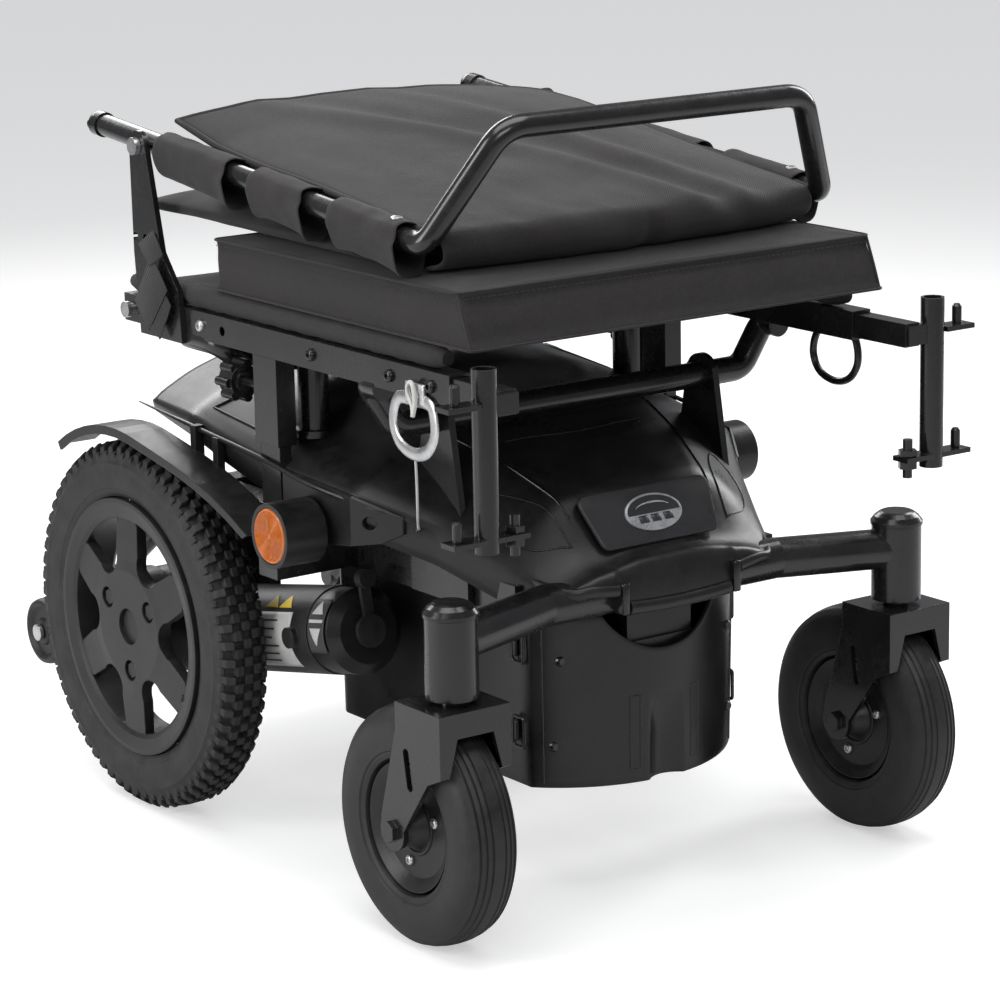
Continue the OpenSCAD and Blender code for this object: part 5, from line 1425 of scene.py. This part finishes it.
@dataclass
class Hood:
    """The moulded hood: soft shoulders, a raised console with its panel and badge, and a rolled front lip."""

    stations: tuple[tuple[float, ...], ...] = (
        # Y, half width, edge Z, crown Z, crown half width
        (-0.34275, 0.108, 0.26128, 0.27728, 0.060),
        (-0.32575, 0.119, 0.26728, 0.28728, 0.066),
        (-0.29575, 0.132, 0.28128, 0.32928, 0.074),
        (-0.23775, 0.160, 0.30928, 0.35328, 0.092),
        (-0.17975, 0.196, 0.33128, 0.36728, 0.110),
        (-0.05975, 0.209, 0.34328, 0.38328, 0.120),
        (0.06025, 0.203, 0.35928, 0.39328, 0.116),
        (0.15825, 0.183, 0.35528, 0.38728, 0.104),
    )
    panel_low: tuple[float, float, float] = (0.058, -0.33255, 0.28828)
    panel_high: tuple[float, float, float] = (0.068, -0.30255, 0.33128)

    def at(self, y: float) -> tuple[float, ...]:
        """Returns half width, edge, crown and crown half width at y."""
        return blend_rows(self.stations, min(max(y, self.stations[0][0]), self.stations[-1][0]))

    def raw(self, x: float, y: float) -> float:
        """Returns the plain, creased height of the hood's top at x, y."""
        half, edge, crown, top = self.at(y)
        return blend_rows(((0, crown + 0.005), (top * 0.5, crown + 0.005), (top, crown),
            ((half + top) / 2, (edge + crown) / 2 + 0.004), (half, edge)), min(abs(x), half))[0]

    def height(self, x: float, y: float) -> float:
        """Returns the moulded height at x, y, with every crease eased."""
        spread = (-0.011, -0.004, 0.004, 0.011)
        return sum(self.raw(x + a, y + b * 0.6) for a in spread for b in spread) / 16

    def nose(self, x: float) -> tuple[float, float]:
        """Returns the Y and Z of the nose's lower edge at x: deep in the middle, shallow beside it."""
        return blend_rows(((0, -0.3560, 0.2440), (0.040, -0.3550, 0.2445), (0.0565, -0.3545, 0.2460),
            (0.0600, -0.3540, 0.2620), (0.085, -0.3500, 0.2640), (0.110, -0.3430, 0.2560)), abs(x))

    def build(self, shop: Workshop) -> None:
        """Builds the hood and what is fixed on it."""
        shop.fix(self._shell(shop), "base", ["hood"])
        trims = self._creases(shop)
        shop.fix_all("hood_trims", trims, "base", ())
        shop.fix(self._panel(shop), "base", ["hood_front_panel"])
        shop.fix(self._badge(shop), "base", ["badge"])
        notches = [shop.block(f"lip_clip_{k}", (k * 0.0570 - 0.0036, -0.3590, 0.2430),
            (k * 0.0570 + 0.0036, -0.3440, 0.2690), "gloss_plastic", 0.0015) for k in (-1, 1)]
        shop.fix_all("lip_clips", notches, "base", ["hood_clips"])

    def _shell(self, shop: Workshop) -> Thing:
        """Makes the hood's skin. Returns it."""
        across, along = 76, 92
        front, rear = self.stations[0][0], self.stations[-1][0]
        rows: list[list[Vector]] = []
        for j in range(along + 1):
            y = front + (rear - front) * j / along
            half, edge, *_ = self.at(y)
            drop = blend_rows(((front, 0.012), (-0.30, 0.030), (-0.18, 0.034), (0.0, 0.026), (rear, 0.012)),
                y)[0]
            row = [Vector((-(half - 0.003), y, edge - drop)), Vector((-(half - 0.0008), y, edge - drop * 0.5))]
            for i in range(across + 1):
                u = -1 + 2 * i / across
                x = math.copysign(abs(u) ** 0.92, u) * half
                ease = 0.004 * max(0.0, abs(u) - 0.94) / 0.06
                row.append(Vector((x, y, self.height(x, y) - ease)))
            row += [Vector((half - 0.0008, y, edge - drop * 0.5)), Vector((half - 0.003, y, edge - drop))]
            rows.append(row)
        first = rows[0]
        for n in range(1, 8):
            turn = math.pi / 2 * n / 7
            rows.insert(0,
                        [Vector((p.x, p.y + (self.nose(p.x)[0] - p.y) * math.sin(turn),
                                 p.z + (min(self.nose(p.x)[1], p.z) - p.z) * (1 - math.cos(turn))))
                         for p in first])
        shell = shop.sheet("hood_shell", rows, "black_plastic")
        up = sum(f.normal.z for f in shell.data.polygons) > 0
        return shop.thicken(shell, 0.0025, -1.0 if up else 1.0)

    def on_top(self, points: Sequence[tuple[float, float]], lift: float, steps: int = 8) -> list[Vector]:
        """Lays a smooth line over the hood's top.

        Args:
            points: X and Y of the line's corners.
            lift: height above the skin.
            steps: points to each span.
        """
        return [Vector((p.x, p.y, self.height(p.x, p.y) + lift))
                for p in smooth_route([(x, y, 0) for x, y in points], steps)]

    def _creases(self, shop: Workshop) -> list[Thing]:
        """Makes the lip, shoulder ridges, parting lines and flank panels. Returns them."""
        parts = []
        for k in (-1, 1):
            shoulder = both_ways(((0.201, 0.150, 0.3560), (0.2085, 0.028, 0.3500), (0.2110, -0.067, 0.3430),
                (0.2085, -0.135, 0.3330), (0.1905, -0.190, 0.3215), (0.1730, -0.215, 0.3140),
                (0.1600, -0.235, 0.3080)), k)
            parts.append(shop.tube(f"shoulder_{k}", smooth_route(shoulder, 8),
                lambda s: 0.0021 * min(1.0, 0.3 + 6 * s, 0.3 + 6 * (1 - s)), "black_plastic", 10))
            lip = both_ways(((0.1655, -0.2185, 0.2925), (0.145, -0.255, 0.2875), (0.1265, -0.288, 0.2790),
                (0.1150, -0.320, 0.2690), (0.1010, -0.3430, 0.2640), (0.085, -0.3500, 0.2650),
                (0.0615, -0.3540, 0.2630)), k)
            parts.append(shop.tube(f"lip_{k}", smooth_route(lip, 8), lambda s: 0.0052 * min(1.0, 0.35 + 8 * s),
                "black_plastic", 16, squash=(0.7, 1.0)))
            parts.append(shop.tube(f"parting_{k}",
                self.on_top(((k * 0.073, -0.305), (k * 0.083, -0.265), (k * 0.098, -0.21), (k * 0.112, -0.14)),
                            0.0002), 0.0011, "gloss_plastic", 8))
            recess = self.on_top(((k * 0.080, -0.318), (k * 0.110, -0.303), (k * 0.128, -0.270),
                (k * 0.116, -0.252), (k * 0.090, -0.285), (k * 0.080, -0.318)), 0.0002, 10)
            parts.append(shop.tube(f"recess_{k}", recess[:-1], 0.0009, "gloss_plastic", 8, closed=True))
            tray = self.on_top(((k * 0.188, 0.045), (k * 0.185, -0.050), (k * 0.148, 0.020),
                (k * 0.188, 0.045)), 0.0003, 3)
            parts.append(shop.tube(f"tray_{k}", tray[:-1], 0.0012, "black_plastic", 8, closed=True))
        centre = smooth_route([(-0.0515, -0.3548, 0.2475), (-0.026, -0.3557, 0.2462), (0, -0.3560, 0.2458),
            (0.026, -0.3557, 0.2462), (0.0515, -0.3548, 0.2475)], 8)
        parts.append(shop.tube("lip_centre", centre, 0.0055, "black_plastic", 16, squash=(0.75, 1.0)))
        parts.append(shop.tube("console_line", self.on_top(((-0.070, -0.215), (0, -0.222), (0.070, -0.215)),
            0.0002), 0.0009, "gloss_plastic", 8))
        return parts

    def panel_point(self, a: float, b: float, lift: float = 0.0) -> Vector:
        """Returns the point a across and b up the panel's slope (0 low, 1 high), lifted off it."""
        low, high = Vector((0, *self.panel_low[1:])), Vector((0, *self.panel_high[1:]))
        slope = (high - low).normalized()
        return low.lerp(high, b) + Vector((a, 0, 0)) + Vector((0, -slope.z, slope.y)) * lift

    def panel_push(self, thick: float) -> Vector:
        """Returns a thickness as a vector off the panel."""
        return self.panel_point(0, 0, thick) - self.panel_point(0, 0)

    def _panel(self, shop: Workshop) -> Thing:
        """Makes the light panel on the console's sloping face. Returns it."""
        corners = [(-self.panel_low[0], 0.03), (self.panel_low[0], 0.03), (self.panel_high[0], 0.97),
                   (-self.panel_high[0], 0.97)]
        flat = [Vector((a, b * RISE, 0)) for a, b in corners]
        outline: list[Point] = []
        for n, c in enumerate(flat):
            r = 0.007 if n < 2 else 0.012
            before, after = (flat[n - 1] - c).normalized() * r, (flat[(n + 1) % 4] - c).normalized() * r
            for k in range(7):
                t = k / 6
                q = (c + before) * (1 - t) ** 2 + c * 2 * t * (1 - t) + (c + after) * t ** 2
                outline.append(tuple(self.panel_point(q.x, q.y / RISE, -0.0012)))
        return shop.slab("console_panel", outline, self.panel_push(0.0040), "grey_plastic", 0.0012, 3)

    def _oval(self, shop: Workshop, name: str, wide: float, tall: float, lift: float, thick: float, finish: str,
              share: tuple[float, float] = (0.0, 1.0)) -> Thing:
        """Makes an oval plate on the panel, or the part of one between two shares of its height. Returns it."""
        outline: list[Point] = []
        for n in range(48):
            c, s = math.cos(TAU * n / 48), math.sin(TAU * n / 48)
            b = min(max(s, 2 * share[0] - 1), 2 * share[1] - 1)
            a = c if abs(b - s) < 1e-9 else math.copysign(math.sqrt(1 - b * b),
                c) * abs(c) / max(math.sqrt(1 - s * s), 1e-6)
            outline.append(tuple(self.panel_point(a * wide, 0.5 + b * tall / RISE, lift)))
        return shop.slab(name, outline, self.panel_push(thick), finish, 0.0004, 2)

    def _badge(self, shop: Workshop) -> Thing:
        """Makes the plain oval badge with a dark field and bars. Returns it."""
        parts = [self._oval(shop, "badge_base", 0.0285, 0.0160, 0.0027, 0.0022, "badge_plate"),
                 self._oval(shop, "badge_field", 0.0262, 0.0140, 0.0047, 0.0005, "badge_bars", (0.46, 1.0))]
        for n in range(3):
            a = -0.0125 + 0.0125 * n
            low, high = 0.5 - 0.0088 / RISE, 0.5 - 0.0022 / RISE
            quad = [tuple(self.panel_point(a + d, b, 0.0047)) for d,
                    b in ((-0.0046, low), (0.0046, low), (0.0046, high), (-0.0046, high))]
            parts.append(shop.slab(f"badge_bar_{n}", quad, self.panel_push(0.0005), "badge_bars", 0.0001, 1))
        sweep = [self.panel_point(0.018 * math.cos(a), 0.5 + (0.002 + 0.0062 * math.sin(a)) / RISE, 0.0053)
                 for a in [math.pi * (0.12 + 0.76 * k / 14) for k in range(15)]]
        parts.append(shop.tube("badge_sweep", sweep,
            lambda s: 0.0009 * math.sin(math.pi * min(max(s, 0.1), 0.9)), "badge_plate", 8))
        return shop.join("badge_oval", parts)


@dataclass
class BatteryBox:
    """The battery box: bowed front with a crescent notch, a scooped recess, ribs, screws and side latches."""

    half: float = 0.106
    corner: float = -0.29175
    bulge: float = 0.047
    rear: float = -0.00775
    low: float = 0.092
    high: float = 0.23628

    @property
    def bow(self) -> float:
        """Radius of the bowed front."""
        return (self.half ** 2 + self.bulge ** 2) / (2 * self.bulge)

    def front(self, x: float) -> float:
        """Returns the front's Y at x."""
        return self.corner - self.bulge + self.bow - math.sqrt(self.bow ** 2 - x * x)

    def draft(self, z: float) -> float:
        """Returns how far the moulded walls lean in at height z."""
        return 0.002 * (1 - (z - self.low) / (self.high - self.low))

    def skin(self, x: float, z: float) -> Vector:
        """Returns the point of the bowed front at x, z."""
        return Vector((x * (1 - self.draft(z) / self.half), self.front(x) + self.draft(z), z))

    def build(self, shop: Workshop) -> None:
        """Builds the box, its trims and its latches."""
        shop.fix(self._shell(shop), "base", ["battery_box"])
        trims = []
        for k in (-1, 1):
            strip = [(k * 0.031 + a, b) for a, b in ((-0.0045, 0.104), (0.0045, 0.104), (0.0045, 0.166),
                (-0.0045, 0.166))]
            dense: list[Vector] = []
            for (a, b), (c, d) in zip(strip, strip[1:] + strip[:1]):
                steps = max(2, int(abs(d - b) / 0.006))
                dense += [self.skin(a + (c - a) * n / steps, b + (d - b) * n / steps) for n in range(steps)]
            trims.append(shop.tube(f"strip_{k}", dense, 0.0006, "gloss_plastic", 6, closed=True))
            seam = [self.skin(k * 0.0985, self.low + 0.004 + (self.high - self.low - 0.01) * n / 8)
                    for n in range(9)]
            trims.append(shop.tube(f"seam_{k}", seam, 0.0011, "gloss_plastic", 8))
            for x, z in ((0.0865, 0.1995), (0.0915, 0.1275)):
                trims.append(shop.turned(f"screw_{k}_{z}",
                    [(0, 0), (-0.0016, 0), (-0.0019, 0.0030), (-0.0004, 0.0042), (0.0030, 0.0046), (0.0030, 0)],
                    tuple(self.skin(k * x, z)), Axis.Y, "gloss_plastic", 20))
        shop.fix_all("box_trims", trims, "base", ())
        latches = []
        for k in (-1, 1):
            for z in (0.126, 0.197):
                loop = both_ways([(0.1088, -0.2885, z), (0.1088, -0.2740, z), (0.1088, -0.2740, z + 0.0250),
                    (0.1088, -0.2885, z + 0.0250)], k)
                route = rounded_route([loop[0].lerp(loop[3], 0.5), *loop, loop[0].lerp(loop[3], 0.5)], 0.003,
                    5)[:-1]
                latches.append(shop.tube(f"latch_{k}_{z}", route, 0.0015, "gloss_plastic", 10, closed=True))
                low, high = (0.1060, -0.2790, z + 0.004), (0.1095, -0.2700, z + 0.021)
                latches.append(shop.block(f"latch_seat_{k}_{z}", (min(k * low[0], k * high[0]), low[1], low[2]),
                    (max(k * low[0], k * high[0]), high[1], high[2]), "black_plastic", 0.0012))
        shop.fix_all("box_latches", latches, "base", ["battery_box_clips"])

    def _shell(self, shop: Workshop) -> Thing:
        """Makes the open-topped box with its scoop and crescent. Returns it."""
        line = []
        arc = 96
        for n in range(arc + 1):
            x = -self.half + 2 * self.half * n / arc
            line.append(Vector((x, self.front(x), 0)))
        r = 0.014
        side = [Vector((self.half, self.corner + (self.rear - r - self.corner) * n / 16, 0))
                for n in range(1, 17)]
        bend = [Vector((self.half - r + r * math.cos(a), self.rear - r + r * math.sin(a), 0))
                for a in [math.pi / 2 * n / 8 for n in range(1, 9)]]
        rear_half = [*side, *bend]
        line += rear_half + [Vector((-p.x, p.y, 0)) for p in reversed(rear_half)]
        levels = 24
        rings = []
        for j in range(levels + 1):
            ring = []
            for p in line:
                top = self.high
                if p.y < self.corner - 0.01 and abs(p.x) < 0.0578:
                    top = min(top, self.high + 0.034 - math.sqrt(0.067 ** 2 - p.x ** 2))
                z = self.low + (top - self.low) * j / levels
                scoop = 0.0
                if p.y < self.corner and abs(p.x) < 0.018:
                    scoop = 0.009 * (1 - (p.x / 0.018) ** 2) * min(max((0.166 - z) / 0.05, 0.0), 1.0) ** 0.7
                draft = self.draft(z)
                q = Vector((p.x * (1 - draft / self.half), p.y + scoop + (draft if p.y < self.corner else 0.0),
                            z))
                ring.append(q)
            rings.append(ring)
        box = shop.loft("battery_box_shell", rings, "black_plastic", caps=False, smooth=0.9)
        bm = bmesh.new()
        bm.from_mesh(box.data)
        bm.verts.ensure_lookup_table()
        bm.faces.new([bm.verts[k] for k in range(len(line))])
        bmesh.ops.recalc_face_normals(bm, faces=bm.faces)
        bm.to_mesh(box.data)
        bm.free()
        return shop.soften(shop.thicken(box, 0.003, -1.0), 0.0012, 2, 0.9)


@dataclass
class MotorFittings:
    """Plain labels and a brush cap on each motor, as curved patches on its side."""

    base: tuple[float, float, float] = (0.151, 0.05625, 0.162)
    pitch: float = math.radians(11)
    radius: float = 0.038

    def point(self, k: int, along: float, angle: float, lift: float) -> Vector:
        """Returns a point on a motor's side.

        Args:
            k: side, -1 right or 1 left.
            along: distance from the motor's rear end.
            angle: angle from the inner side, over the top, in degrees.
            lift: height above the surface.
        """
        c, s = math.cos(self.pitch), math.sin(self.pitch)
        a = math.radians(angle)
        out = Vector((-k * math.cos(a), s * math.sin(a), c * math.sin(a)))
        return on_side(self.base, k) + Vector((0, -c, s)) * along + out * (self.radius + lift)

    def patch(self, shop: Workshop, name: str, k: int, span: Sequence[tuple[float, float]], finish: str,
              lift: float = 0.0003) -> Thing:
        """Makes a thin curved patch from four corners given as along, angle. Returns it."""
        n = 14
        (a0, g0), (a1, g1), (a2, g2), (a3, g3) = span
        rows: list[Ring] = []
        for i in range(n + 1):
            f = i / n
            row = []
            for j in range(n + 1):
                h = j / n
                along = (a0 * (1 - f) + a1 * f) * (1 - h) + (a3 * (1 - f) + a2 * f) * h
                angle = (g0 * (1 - f) + g1 * f) * (1 - h) + (g3 * (1 - f) + g2 * f) * h
                row.append(self.point(k, along, angle, lift))
            rows.append(row)
        return shop.thicken(shop.sheet(name, rows, finish), 0.0003, 0.0)

    def build(self, shop: Workshop) -> None:
        """Builds both motors' fittings."""
        for name, k in SIDES.items():
            parts = [self.patch(shop, f"paper_{k}", k, ((0.062, 148), (0.126, 148), (0.122, 226), (0.062, 226)),
                "label_paper")]
            for n in range(6):
                g = 158 + 11 * n
                parts.append(self.patch(shop, f"line_{k}_{n}", k,
                    ((0.070, g), (0.104 - 0.004 * (n % 3), g), (0.104 - 0.004 * (n % 3), g + 2.2),
                     (0.070, g + 2.2)), "label_ink", 0.0007))
            for n in range(2):
                a = 0.078 + 0.022 * n
                parts.append(self.patch(shop, f"sign_{k}_{n}", k,
                    ((a, 142), (a + 0.020, 142), (a + 0.0105, 122), (a + 0.0095, 122)), "label_yellow"))
            dark = ((0.153, 128), (0.178, 128), (0.178, 200), (0.153, 200))
            parts.append(self.patch(shop, f"plate_{k}", k, dark, "label_ink"))
            for g, tip in ((150, 132), (168, 190)):
                parts.append(self.patch(shop, f"arrow_{k}_{g}", k,
                    ((0.157, g), (0.174, g), (0.1660, tip), (0.1650, tip)), "label_paper", 0.0007))
            parts.append(self.patch(shop, f"stripe_{k}", k,
                ((0.155, 157), (0.176, 157), (0.176, 161), (0.155, 161)), "label_paper", 0.0007))
            shop.fix_all(f"motor_labels_{name}", parts, "base", ())


@dataclass
class Fittings:
    """Tie-downs, the nylon tie and the small bolts on the seat frame."""

    def build(self, shop: Workshop) -> None:
        """Builds the tie-down rings, the tie and the bolts."""
        rings = []
        for name, k in SIDES.items():
            x = k * 0.2153
            outline = [(x, y, z) for y, z in ((-0.2970, 0.4300), (-0.2790, 0.4295), (-0.2712, 0.4210),
                (-0.2690, 0.4060), (-0.2775, 0.3925), (-0.2960, 0.3870), (-0.3140, 0.3915), (-0.3245, 0.4050),
                (-0.3240, 0.4210), (-0.3170, 0.4295), (-0.2970, 0.4300))]
            finish, radius = ("zinc", 0.0040) if k < 0 else ("gloss_plastic", 0.0032)
            loop = smooth_route(outline, 8)[:-1]
            ring = shop.tube(f"ring_{name}", loop, radius, finish, 14, closed=True,
                squash=(0.4, 1.35) if k < 0 else (1, 1))
            tab = shop.block(f"tab_{name}", (min(x - 0.0018, x + 0.0018), -0.3140, 0.4270),
                (max(x - 0.0018, x + 0.0018), -0.2880, 0.4440), finish, 0.0012)
            rings += [ring, tab]
        shop.fix_all("tie_down_rings", rings, "base", ["tie_down_plates"])
        x = -0.2195
        hook = smooth_route([(x, -0.3020, 0.4180), (x, -0.3055, 0.4300), (x - 0.0005, -0.3035, 0.4430),
            (x, -0.2975, 0.4440), (x, -0.2950, 0.4370), (x, -0.3010, 0.4270), (x, -0.3020, 0.4180)], 6)
        shop.fix(shop.tube("ring_hook", hook, 0.0019, "cord_white", 10, squash=(1, 0.8)), "base", ())
        tether = smooth_route([(-0.2145, -0.2970, 0.3850), (-0.2090, -0.2900, 0.3640),
            (-0.2000, -0.2770, 0.3420), (-0.1870, -0.2580, 0.3230), (-0.1730, -0.2380, 0.3100),
            (-0.1640, -0.2260, 0.3065)], 8)
        strap = shop.fix(shop.tube("hood_tether", tether, 0.0011, "cord_white", 12), "base", ())
        anchor = shop.turned("tether_anchor", [(0, 0), (0, 0.0045), (0.002, 0.0042), (0.0034, 0.002),
            (0.0036, 0)], (-0.1640, -0.2260, 0.3045), Axis.Z, "gloss_plastic", 20)
        shop.fix(anchor, "base", ())
        bolts = []
        for k in (-1, 1):
            for y, z in ((-0.318, 0.443), (-0.262, 0.443), (-0.150, 0.443), (0.020, 0.443), (0.080, 0.443),
                         (0.135, 0.443)):
                head = hex_head(shop, f"bolt_{k}_{y}", 0.0052, 0.0036, "zinc" if y > 0 else "gloss_plastic")
                head.data.transform(Matrix.Translation((k * 0.2130, y, z))
                    @ Matrix.Rotation(0 if k > 0 else math.pi, 4, "Z"))
                if not head.users_collection:
                    bpy.context.scene.collection.objects.link(head)
                bolts.append(head)
        shop.fix_all("rail_bolts", bolts, "base", ())


@dataclass
class Reflectors:
    """The ribbed amber lenses at the ends of their housings."""

    def build(self, shop: Workshop) -> None:
        """Builds both lenses."""
        low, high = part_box("reflector_lenses")
        radius, centre = (high.z - low.z) / 2, (low + high) / 2
        lenses = []
        for k in (-1, 1):
            profile = [(-0.004, 0.0), (-0.004, radius), (-0.0014, radius), (-0.0002, radius - 0.0012)]
            rings = int((radius - 0.003) / 0.0007)
            profile += [(-0.0008 * (n % 2) - 0.0002, radius - 0.002 - 0.0007 * n)
                        for n in range(rings)] + [(-0.0002, 0.0)]
            lenses.append(shop.turned(f"lens_{k}", [(k * a, r) for a, r in profile],
                (k * high.x, centre.y, centre.z), Axis.X, "amber_lens", 64, 0.35))
            face_out(lenses[-1])
        shop.fix_all("amber_lenses", lenses, "base", ["reflector_lenses"])


ASSEMBLIES = (SeatCushion, FoldedBack, SeatSling, BeltEnd, BentTubes, Hood, BatteryBox, MotorFittings, Fittings,
    Reflectors)


# The studio and the carried-over parts -------------------------------------------


@dataclass
class Studio:
    """The camera, the soft lights and the pale floor."""

    eye: tuple[float, float, float] = (-1.6925, -2.46395, 0.9749)
    yaw: float = math.radians(35.71)
    pitch: float = math.radians(-13.42)
    roll: float = math.radians(-1.096)
    lens: float = 125.31
    lights: tuple[tuple[str, tuple[float, float, float], float, float, float], ...] = (
        ("key_overhead", (-0.2, -0.5, 2.5), 2.6, 1.5, 40.0),
        ("strip_left", (-2.3, 0.3, 1.2), 0.8, 1.9, 30.0),
        ("strip_front", (-1.0, -2.6, 1.9), 1.6, 0.7, 15.0),
        ("rim_right", (2.2, 0.2, 1.5), 0.7, 1.8, 28.0),
        ("back_lift", (0.4, 2.4, 1.7), 1.8, 0.9, 30.0),
    )

    def build(self) -> None:
        """Makes the camera, lights, world and floor."""
        self._camera()
        for name, place, width, height, power in self.lights:
            data = bpy.data.lights.new(name, "AREA")
            data.shape, data.size, data.size_y, data.energy = "RECTANGLE", width, height, power
            lamp = bpy.data.objects.new(name, data)
            lamp.location = place
            lamp.rotation_mode = "QUATERNION"
            lamp.rotation_quaternion = (Vector((0, 0, 0.35)) - Vector(place)).to_track_quat("-Z", "Y")
            bpy.context.scene.collection.objects.link(lamp)
        world = bpy.data.worlds.new("pale_room")
        world.use_nodes = True
        b = NodeBench(world.node_tree)
        dim = b.tree.nodes["Background"]
        dim.inputs[0].default_value, dim.inputs[1].default_value = (0.93, 0.95, 1.0, 1), 0.24
        bright = b.add("ShaderNodeBackground", {0: (1, 1, 1, 1), 1: 1.0}).outputs[0]
        seen = b.add("ShaderNodeLightPath").outputs["Is Camera Ray"]
        blend = b.add("ShaderNodeMixShader", {0: seen, 1: dim.outputs[0], 2: bright}).outputs[0]
        b.tree.links.new(blend, b.tree.nodes["World Output"].inputs[0])
        bpy.context.scene.world = world
        bpy.context.scene.view_settings.view_transform = "Standard"
        self._floor()

    def _camera(self) -> None:
        """Places the camera."""
        forward = Vector((math.sin(self.yaw) * math.cos(self.pitch), math.cos(self.yaw) * math.cos(self.pitch),
            math.sin(self.pitch)))
        right = Vector((math.cos(self.yaw), -math.sin(self.yaw), 0))
        up = right.cross(forward)
        c, s = math.cos(self.roll), math.sin(self.roll)
        right, up = right * c + up * s, up * c - right * s
        data = bpy.data.cameras.new("camera")
        data.lens, data.sensor_width, data.clip_end = self.lens, 36.0, 100
        camera = bpy.data.objects.new("camera", data)
        camera.matrix_world = Matrix(((right.x, up.x, -forward.x, self.eye[0]),
            (right.y, up.y, -forward.y, self.eye[1]), (right.z, up.z, -forward.z, self.eye[2]), (0, 0, 0, 1)))
        bpy.context.scene.collection.objects.link(camera)
        bpy.context.scene.camera = camera

    def _floor(self) -> None:
        """Lays a wide pale floor, seen a little brighter than it lights."""
        wide = 30
        mesh = bpy.data.meshes.new("floor")
        mesh.from_pydata([(x * wide, y * wide, 0) for x, y in ((-1, -1), (1, -1), (1, 1), (-1, 1))], [],
            [(0, 1, 2, 3)])
        floor = bpy.data.objects.new("floor", mesh)
        mat = bpy.data.materials.new("floor_paper")
        mat.use_nodes = True
        b = NodeBench(mat.node_tree)
        paper = b.tree.nodes["Principled BSDF"]
        for key, value in (("Base Color", (0.7, 0.7, 0.7, 1)), ("Roughness", 0.9),
                ("Emission Color", (1, 1, 1, 1))):
            paper.inputs[key].default_value = value
        glow = b.math("MULTIPLY", b.add("ShaderNodeLightPath").outputs["Is Camera Ray"], 0.5)
        b.tree.links.new(glow, paper.inputs["Emission Strength"])
        mesh.materials.append(mat)
        bpy.context.scene.collection.objects.link(floor)


@dataclass(frozen=True)
class CarriedOver:
    """The CAD nodes that keep their shape, each with its finish."""

    finishes: tuple[tuple[str, tuple[str, ...]], ...] = (("painted_tube",
        ("chassis_frame", "front_cross_tube", "seat_rails", "seat_cross_bars", "seat_front_brackets",
         "seat_posts", "seat_post_sleeves", "back_canes", "back_plates", "hanger_posts", "hanger_pins",
         "caster_fork_right", "caster_fork_left", "push_bar", "seat_cross_tubes", "anti_tip_arms",
         "rear_wire_loops")),
        ("casting", ("gearboxes", "motors", "power_module", "drive_hub_right", "drive_hub_left")),
        ("black_plastic", ("batteries", "battery_box", "battery_box_handle", "battery_box_clips",
            "brake_covers", "hood", "side_covers", "fenders", "reflector_housings")),
        ("grey_plastic", ("hood_front_panel",)),
        ("gloss_plastic", ("hood_clips", "housing_caps", "cane_end_caps", "clamp_knob_right",
            "clamp_knob_left")),
        ("rubber", ("brake_lever_right", "brake_lever_left", "caster_tyre_right", "caster_tyre_left",
                    "anti_tip_wheel_right", "anti_tip_wheel_left")),
        ("wheel_rim", ("drive_rim_right", "drive_rim_left", "caster_rim_right", "caster_rim_left")),
        ("tyre", ("drive_tyre_right", "drive_tyre_left")),
        ("zinc", ("caster_bearings", "back_pivot_bolts", "tie_down_plates")),
        ("woven_black", ("seat_sling", "seat_cushion", "back_panel", "back_upholstery", "cane_sleeves")),
        ("webbing", ("belt_webbing",)), ("amber_lens", ("reflector_lenses",)), ("badge_plate", ("badge",)),)

    def dress(self, shop: Workshop) -> None:
        """Puts each finish on its nodes."""
        for finish, names in self.finishes:
            for name in names:
                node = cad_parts[name]
                node.data.materials.clear()
                node.data.materials.append(shop.finish[finish])
                log.info("%s keeps its shape, in %s", name, finish)


def main() -> None:
    """Builds the studio, dresses the frame and makes each sub-assembly."""
    logging.basicConfig(level=logging.INFO, format="%(name)s: %(message)s")
    Studio().build()
    shop = Workshop()
    CarriedOver().dress(shop)
    for side in SIDES:
        DriveWheel(side).build(shop)
        Caster(side).build(shop)
        AntiTipWheel(side).build(shop)
    for assembly in ASSEMBLIES:
        assembly().build(shop)
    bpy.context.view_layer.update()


if __name__ == "__main__":
    main()
